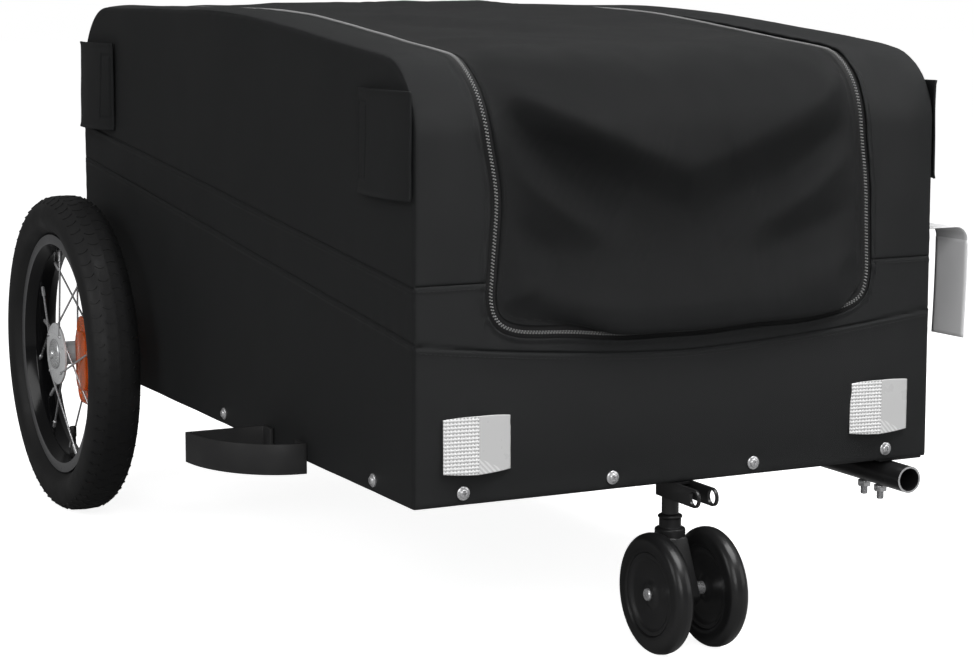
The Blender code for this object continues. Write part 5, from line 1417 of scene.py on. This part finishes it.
def make_tread(hand, centre):
    """Rows of curved lugs on the crown and the shoulders."""
    count = 69
    bow = arc((0, -0.0048), 0.0060, 30, 150, 8) + arc((0, -0.0048), 0.0040, 150, 30, 8)
    lug = prism("lug", [(u, v * 0.9) for u, v in bow], 0.0012, tyre_rubber,
                lambda u, v, w: Vector((u, v, w - 0.0008)))
    places, ups, alongs = [], [], []
    line = np.array(tyre_outline())
    slope = np.gradient(line, axis=0)
    for across, shift, way in ((0.0180, 0.0, 1), (0.0062, 0.5, 1), (-0.0062, 0.0, -1),
                               (-0.0180, 0.5, -1)):
        k = int(np.argmin(np.abs(line[:, 0] - abs(across)) + (line[:, 1] < 0.14)))
        normal = np.array([-slope[k, 1], slope[k, 0]])
        normal *= np.sign(normal[1]) / np.linalg.norm(normal)
        for i in range(count):
            a = 2 * math.pi * (i + shift) / count
            out = Vector((0, math.cos(a), math.sin(a)))
            side = math.copysign(1, across)
            places.append(centre + Vector((side * line[k, 0], 0, 0)) + out * line[k, 1])
            ups.append(Vector((side * normal[0], 0, 0)) + out * normal[1])
            alongs.append((way, 0, 0))
    made = set_out(f"tread_{hand}", lug, places, ups, alongs, tyre_rubber)
    drop(lug)
    return made


def spoke_ends(index, flange, centre):
    """A spoke's hub and rim ends: it leads or trails, and stands off the flange either way."""
    rim_angle = math.radians((index + (0.25 if flange > 0 else 0.75)) * 360 / SPOKES_A_SIDE)
    lead = 1 if index % 2 else -1
    hub_angle = rim_angle + math.radians(lead * 52)
    ends = []
    for x, r, a in ((FLANGE_MIDDLE + 0.0022 * lead, 0.0257, hub_angle),
                    (0.0028, 0.1011, rim_angle)):
        ends.append(centre + Vector((flange * x, r * math.cos(a), r * math.sin(a))))
    return ends


def make_tyre_and_rim(hand, centre, out, body):
    inner = [(-0.0135, 0.1132), (-0.0108, 0.1132), (-0.0118, 0.1215), (-0.0205, 0.1345),
             (-0.0180, 0.1475), (0.0, 0.1525)]
    tyre = lathe("tyre", mirrored(tyre_outline()) + mirrored(inner), centre, out, tyre_rubber, 128)
    keep(join(f"tyre_and_tread_{hand}", [tyre, make_tread(hand, centre)]), body, "tyre_rubber",
         f"tyre_{hand}")
    half, outer, bore = 0.016, RIM_RADIUS, 0.1020
    seat = outer - 0.0066
    right = [(half * 0.35, bore + 0.0045), (half - 0.0022, seat), (half - 0.0022, outer),
             (half, outer), (half, outer - 0.0095), (half * 0.40, bore)]
    rim = lathe(f"rim_ring_{hand}", softened(mirrored(right), 0.0007), centre, out, rim_metal,
                128, 30)
    keep(two_tone(rim, rim_bed, lambda f: abs(f.normal.x) < 0.75), body, "bright_aluminium",
         f"rim_{hand}")


def make_hub_and_spokes(hand, centre, out, body):
    """Hub with drilled flanges, spokes with their nipples, and the valve. Returns spoke ends."""
    near, far = 0.0130, 0.0160
    barrel = [(near - 0.004, 0.0115), (near - 0.0012, 0.0127), (near, 0.0155), (near, 0.0295),
              (near + 0.0006, 0.0305), (far - 0.0006, 0.0305), (far, 0.0295), (far, 0.0140),
              (0.0163, 0.0112), (0.0165, 0.0103), (0.0165, 0.0063)]
    hub = lathe("hub", mirrored(barrel), centre, out, bright, 64)
    flanges = [-1] * SPOKES_A_SIDE + [1] * SPOKES_A_SIDE
    ends = [spoke_ends(i % SPOKES_A_SIDE, f, centre) for i, f in enumerate(flanges)]
    holes = [borer(Vector((centre.x + f * FLANGE_MIDDLE, a.y, a.z)), out, 0.0015, -0.003, 0.003, 12)
             for f, (a, b) in zip(flanges, ends)]
    cut(hub, [join("holes", holes)])
    length = (ends[0][1] - ends[0][0]).length
    spoke = lathe("spoke", [(-0.0022, 0), (-0.0022, 0.0013), (-0.0008, 0.0017), (0.0, 0.001),
                            (length - 0.011, 0.001), (length - 0.0105, 0.0018),
                            (length - 0.0012, 0.0019), (length, 0.0017), (length, 0)],
                  (0, 0, 0), (0, 0, 1), wire, 10)
    ups = [(b - a).normalized() for a, b in ends]
    spokes = set_out("spokes", spoke, [b - u * length for (a, b), u in zip(ends, ups)], ups,
                     [(1, 0, 0)] * len(ends), wire)
    drop(spoke)
    valve = lathe("valve", [(0, 0), (0, 0.0042), (0.004, 0.0040), (0.006, 0.0030), (0.016, 0.0028),
                            (0.017, 0.0034), (0.026, 0.0034), (0.027, 0.0028), (0.0272, 0)],
                  centre - Vector((0, 0, 0.1015)), (0, 0, 1), plastic, 24)
    keep(join(f"hub_spokes_valve_{hand}", [hub, spokes, valve]), body, "bright_aluminium",
         f"hub_and_spokes_{hand}")
    return ends


def make_release_pin(hand, centre, out):
    cap = [(-0.0384, 0), (-0.0384, 0.004), (-0.0364, 0.006), (0.0166, 0.006), (0.0166, 0.0149),
           (0.0172, 0.0150), (0.0179, 0.0145), (0.0191, 0.0115), (0.0198, 0.0085),
           (0.0201, 0.0066), (0.0199, 0.0049), (0.0154, 0.0049), (0.0154, 0)]
    keep(lathe(f"release_pin_{hand}", cap, centre, out, chrome, 64), f"axle_{hand}",
         "chromed_steel", f"axle_pin_{hand}")
    knob = [(0.0188, 0), (0.0188, 0.0046), (0.0208, 0.0046), (0.0214, 0.0042), (0.0219, 0.0032),
            (0.0222, 0.0020), (0.0223, 0)]
    keep(lathe(f"release_knob_{hand}", knob, centre, out, chrome, 48), f"button_{hand}",
         "chromed_steel", f"release_button_{hand}")


def make_wheel(side, hand):
    low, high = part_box(f"tyre_{hand}")
    centre, out, body = (low + high) / 2, (side, 0, 0), f"wheel_{hand}"
    make_tyre_and_rim(hand, centre, out, body)
    make_reflector(hand, centre, body, make_hub_and_spokes(hand, centre, out, body))
    make_release_pin(hand, centre, out)


def make_reflector(hand, centre, body, ends):
    """Plate between the spokes with a lip, a raised tray on each face and two clips."""
    middle = centre + Vector((math.copysign(0.003, centre.x), -0.060, 0))

    def face(x, shift=0.0):
        return lambda u, v, w: middle + Vector((x + w, u + shift, v))

    plate = bevel(prism("plate", rounded_rectangle(0.048, 0.084, 0.012, 8), 0.0024, lens,
                        face(-0.0012)), 0.0006)
    lip = [middle + Vector((0, u, v)) for u, v in rounded_rectangle(0.0455, 0.0815, 0.0108, 10)]
    rim_path = pipe("lip", lip + lip[:2], 0.0021, lens, 0, 10)
    trays = [bevel(prism("tray", rounded_rectangle(0.030, 0.058, 0.010, 8), 0.0045, finish,
                         face(x, 0.004)), 0.0010, 3)
             for x, finish in ((-0.0052, lens), (0.0008, lens_back))]
    clips = []
    for a, b in (ends[3], ends[12]):
        grip = a.lerp(b, 0.75)
        lean = math.copysign(0.0025, grip.x - centre.x)
        clips.append(block("clip", (middle.x, grip.y - 0.0025, grip.z - 0.0025),
                           (grip.x + lean, grip.y + 0.0025, grip.z + 0.0025), lens, 0.001))
    keep(join(f"wheel_reflector_{hand}", [plate, rim_path] + trays + clips), body, "amber_lens",
         f"spoke_reflector_{hand}")


def make_axle_plate(side, hand):
    """Plate outside the rail with two bolts, and the sleeve that the release pin plugs into."""
    face, sleeve_above = half_width(0) + GAP, 0.022
    plate = bevel(prism("plate", rounded_rectangle(0.070, 0.046, 0.008), 0.003, powder_coat,
                        lambda u, v, w: at(side * (face + w), AXLE_S + u, 0.019 + v)), 0.0005)
    hole = borer(at(side * (face - 0.005), AXLE_S, sleeve_above), (side, 0, 0), 0.0063, 0, 0.02)
    parts = [cut(plate, [hole]),
             pipe("sleeve", [at(side * (face + 0.0015), AXLE_S, sleeve_above),
                             at(side * 0.2552, AXLE_S, sleeve_above)],
                  0.010, powder_coat, 0.0037, 40)]
    head = [(0, 0.0053), (0.0016, 0.0051), (0.0028, 0.0038), (0.0032, 0.0026), (0.0010, 0.0022),
            (0.0010, 0)]
    for shift in (-0.024, 0.024):
        parts.append(lathe("bolt", head, at(side * (face + 0.003), AXLE_S + shift, 0.009),
                           (side, 0, 0), zinc, 24))
    keep(join(f"axle_bracket_{hand}", parts), "frame", "black_powder_coat", f"axle_plate_{hand}")


def make_guard(side, hand):
    """A strip that bows out from the box ahead of the wheel, with both feet turned in."""
    root, back, length, reach, thick = half_width(0) + GAP, 0.2955, 0.092, 0.0715, 0.003

    def bow(inset):
        run, out = length - 2 * inset, reach - inset
        return [(back - inset - run * b, root + out * a) for a, b in arc((0, 0), 1.0, 0, 90, 40)]

    front, foot = back - length, 0.016
    outline = [(back, root)] + bow(0)
    outline += [(front + thick + foot, root), (front + thick + foot, root + thick)]
    outline += [p for p in bow(thick) if p[1] > root + thick * 1.3][::-1]
    outline += [(back - thick, root + thick), (back - thick - foot, root + thick),
                (back - thick - foot, root)]
    made = prism(f"guard_strip_{hand}", outline, 0.0254, guard_coat,
                 lambda u, v, w: at(side * v, u, -0.0098 + w))
    keep(bevel(made, 0.0004), "frame", "guard", f"wheel_guard_{hand}")


# Tow socket and caster

STUD_PLACES = (0.018, 0.0405)
STUD_HOLE = 0.0033             # radius


def make_tow():
    """Socket tube, the plate with its two studs and nuts, and the rear saddle."""
    low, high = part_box("tow_tube")
    x, drop_by, under = (low.x + high.x) / 2, -0.0138, -0.0248
    tube = pipe("tow_socket", [at(x, -0.021, drop_by), at(x, 0.269, drop_by)], 0.011, powder_coat,
                0.0016, 64)
    holes = [borer(at(x, s, under), (0, 0, 1), STUD_HOLE, -0.01, 0.03, 20) for s in STUD_PLACES]
    two_tone(cut(tube, [join("holes", holes)]), zinc, lambda f: abs(f.normal.y) > 0.9)
    keep(tube, "frame", "black_powder_coat", "tow_tube")
    plate = block("plate", at(x - 0.011, 0.004, -0.0025), at(RAIL_FACE - GAP, 0.0545, -GAP),
                  powder_coat, 0.0005)
    parts = [plate]
    for s, node in zip(STUD_PLACES, ("tow_nut_front", "tow_nut_rear")):
        turns = [(z * 0.00025, 0.0030 if z % 2 else 0.00265) for z in range(2, 96)]
        parts.append(lathe("stud", [(0, 0), (0, 0.0024)] + turns + [(0.036, 0.003), (0.036, 0)],
                           at(x, s, under - 0.012), (0, 0, 1), zinc, 16))
        nut = prism(node + "_hex", arc((0, 0), 0.0058, 0, 300, 5), 0.005, zinc,
                    lambda u, v, w: at(x + u, s + v, under - GAP - 0.005 + w))
        bevel(nut, 0.0006, 2)
        hole = borer(at(x, s, under - 0.003), (0, 0, 1), STUD_HOLE, -0.01, 0.01, 20)
        keep(cut(nut, [hole]), "frame", "zinc_steel", node)
    keep(join("tow_plate_and_studs", parts), "frame", "zinc_steel", "tow_plate")
    saddle = block("saddle_block", at(RAIL_FACE - GAP - 0.028, 0.221, drop_by),
                   at(RAIL_FACE - GAP, 0.239, -GAP), powder_coat, 0.0008)
    seat = borer(at(x, TOW_BEAM_S, drop_by), (0, 1, 0), 0.0113, -0.03, 0.03, 64)
    keep(cut(saddle, [seat]), "frame", "black_powder_coat", "tow_saddle")


CASTER_STEM = Vector((0, FRONT_Y + 0.0204, 0))
CASTER_AXLE = Vector((0, FRONT_Y - 0.0004, 0.048))


def make_caster_channel():
    """Two ears with an empty cross hole, joined by a web under the rail, and the stem."""
    middle, radius, outer, thick, ear_s = -0.00755, 0.00725, 0.0094, 0.0026, -0.02905
    side_view = arc((ear_s, middle), radius, 90, 270, 20) + [(0.0275, -0.0148), (0.0275, -GAP)]
    ears = [bevel(prism("ear", side_view, thick, powder_coat,
                        lambda u, v, w: at(low + w, u, v)), 0.0003)
            for low in (-outer, outer - thick)]
    hole = borer(at(0, ear_s, middle), (1, 0, 0), 0.0055, -0.02, 0.02, 40)
    channel = cut(join("caster_channel", ears), [hole])
    web = block("web", at(-0.0081, DEPTH, -0.0029), at(0.0081, 0.0262, -0.00045), powder_coat,
                0.0003)
    keep(join("caster_channel", [channel, web]), "frame", "black_powder_coat", "caster_bracket")
    post = [(0.0791, 0), (0.0791, 0.004), (0.1053, 0.004), (0.1053, 0.0062), (0.1059, 0.0068),
            (0.1318, 0.0068), (0.1318, 0)]
    keep(lathe("caster_post", post, CASTER_STEM, (0, 0, 1), powder_coat, 48), "frame",
         "black_powder_coat", "caster_stem")


def make_caster_swivel():
    """Barrel and fork in one, and the axle bolt with its spacers."""
    bore_radius = 0.0043
    collar = [(0.0739, 0), (0.0739, 0.0098), (0.0871, 0.0122), (0.0935, 0.0122), (0.0945, 0.0112),
              (0.0945, 0.0088), (0.1020, 0.0088), (0.1030, 0.0098), (0.1040, 0.0098),
              (0.1050, 0.0088), (0.1050, bore_radius), (0.0788, bore_radius), (0.0788, 0)]
    barrel = lathe("barrel", softened(collar, 0.0006, 3, False), CASTER_STEM, (0, 0, 1), plastic,
                   64)
    fork = [(0.0088, 0.0884)] + arc((-0.0004, 0.048), 0.0125, 195, 365, 24) \
        + [(0.0320, 0.0605), (0.0320, 0.0884)]
    body = bevel(prism("fork", softened(fork, 0.002), 0.018, plastic,
                       lambda u, v, w: Vector((w - 0.009, FRONT_Y + u, v))), 0.0012, 3)
    holes = [borer(CASTER_STEM, (0, 0, 1), bore_radius, 0.0788, 0.11),
             borer(CASTER_AXLE, (1, 0, 0), bore_radius, -0.02, 0.02)]
    keep(join("caster_swivel", [barrel, cut(body, holes)]), "caster_swivel_body",
         "black_plastic", "caster_fork")
    bolt = [(0.0093, 0.004), (0.0093, 0.0052), (0.0176, 0.0052), (0.0176, 0.004), (0.0318, 0.004),
            (0.0318, 0.0050), (0.0330, 0.0050), (0.0338, 0.0044), (0.0340, 0.0030), (0.0340, 0)]
    keep(lathe("caster_bolt", [(-a, b) for a, b in reversed(bolt)] + bolt, CASTER_AXLE, (1, 0, 0),
               zinc, 48), "caster_swivel_body", "chromed_steel", "caster_axle")


def make_caster_wheels():
    for side, hand in HANDS:
        centre = CASTER_AXLE + Vector((side * 0.0247, 0, 0))
        hub, dish = 0.0068, 0.00425
        disc = [(hub, 0.0043), (hub, 0.0072), (hub - 0.0006, 0.0085), (dish + 0.0004, 0.0108),
                (dish, 0.0125), (dish, 0.0262), (dish + 0.0004, 0.0275), (hub - 0.0009, 0.0292),
                (hub - 0.0002, 0.0300), (hub, 0.0327)]
        keep(lathe(f"caster_web_{hand}", mirrored(disc), centre, (1, 0, 0), plastic, 96),
             f"caster_wheel_{hand}", "black_plastic", f"caster_disc_{hand}")
        tread = [tuple(p) for p in smooth_line([
            (hub, 0.033), (0.0081, 0.0345), (0.0085, 0.0375), (0.0078, 0.0436), (0.0043, 0.0471),
            (0, 0.048)], 5)]
        keep(lathe(f"caster_tread_{hand}", mirrored(tread), centre, (1, 0, 0), caster_rubber, 96),
             f"caster_wheel_{hand}", "caster_rubber", f"caster_tyre_{hand}")


make_base()
make_top_bar("top_bar_front", LEG, 1, FRONT_UPRIGHT - BAR_UNDER)
make_top_bar("top_bar_rear", BOX_LENGTH - LEG, -1, BOX_HEIGHT - REAR_RADIUS - BAR_UNDER)
make_screws()
make_stitches()
for side, hand in HANDS:
    make_arch(side, hand)
    for end in ("front", "rear"):
        make_flap(side, hand, end)
        make_patch(side, hand, end)
    make_wheel(side, hand)
    make_axle_plate(side, hand)
    make_guard(side, hand)
make_tag()
make_zip_slider()
make_tow()
make_caster_channel()
make_caster_swivel()
make_caster_wheels()


# Stage, lights and camera

def seen_rays(tree):
    """1 where the camera looks, straight or through clear plastic, and 0 for any other light."""
    light = add(tree, "LightPath").outputs
    return maths(tree, "MAXIMUM", light["Is Camera Ray"], light["Is Transmission Ray"])


def make_stage():
    """White floor that lights the trailer less than it shows."""
    shape = bmesh.new()
    bmesh.ops.create_grid(shape, x_segments=1, y_segments=1, size=20.0)
    made, tree, shader = new_finish("studio floor", (0.82, 0.82, 0.82), 0.7)
    seen = seen_rays(tree)
    shader.inputs["Emission Color"].default_value = (1, 1, 1, 1)
    feed(tree, shader, grey(tree, spread_value(tree, seen, 0.30, 0.82, 0.0, 1.0)))
    tree.links.new(maths(tree, "MULTIPLY", seen, 0.88), shader.inputs["Emission Strength"])
    new_object("studio_floor", shape, made, outward=False)


def make_world():
    world = bpy.data.worlds.new("studio")
    world.use_nodes = True
    tree = world.node_tree
    tree.nodes.clear()
    strength = spread_value(tree, seen_rays(tree), 0.15, 1.0, 0.0, 1.0)
    ground = add(tree, "Background", {"Color": (1, 1, 1, 1), "Strength": strength})
    add(tree, "OutputWorld", {"Surface": ground.outputs["Background"]})
    bpy.context.scene.world = world


def area_light(name, place, target, size, power):
    data = bpy.data.lights.new(name, "AREA")
    data.shape, data.size, data.size_y, data.energy = "RECTANGLE", size[0], size[1], power
    made = bpy.data.objects.new(name, data)
    made.location = place
    made.rotation_mode = "QUATERNION"
    made.rotation_quaternion = (Vector(target) - Vector(place)).to_track_quat("-Z", "Y")
    bpy.context.scene.collection.objects.link(made)


# The camera as solved from the photo
CAMERA_PLACE = Vector((-0.9621, -1.9762, 0.5193))
CAMERA_HEADING = (0.45093, 0.89256)
CAMERA_PITCH = 8.2128
FOCAL_PIXELS = 2384.8
IMAGE_WIDTH = 974


def make_camera():
    data = bpy.data.cameras.new("photo camera")
    data.sensor_width = 36.0
    data.lens = FOCAL_PIXELS * data.sensor_width / IMAGE_WIDTH
    made = bpy.data.objects.new("photo camera", data)
    pitch = math.radians(CAMERA_PITCH)
    level = Vector((*CAMERA_HEADING, 0.0)).normalized()
    forward = level * math.cos(pitch) - Vector((0, 0, math.sin(pitch)))
    made.location = CAMERA_PLACE
    made.rotation_mode = "QUATERNION"
    made.rotation_quaternion = forward.to_track_quat("-Z", "Y")
    bpy.context.scene.collection.objects.link(made)
    bpy.context.scene.camera = made


make_stage()
make_world()
area_light("overhead", (0.7, -1.0, 2.5), (0, -0.2, 0.3), (1.8, 1.8), 72.0)
area_light("front left", (-1.5, -3.0, 1.6), (0, -0.1, 0.3), (1.6, 1.6), 37.0)
area_light("left side", (-3.0, -0.4, 1.5), (0, 0.1, 0.3), (1.6, 1.6), 22.0)
area_light("front right", (2.6, -2.2, 1.2), (0, -0.2, 0.3), (1.6, 1.6), 14.0)
make_camera()
bpy.context.scene.view_settings.view_transform = "Standard"
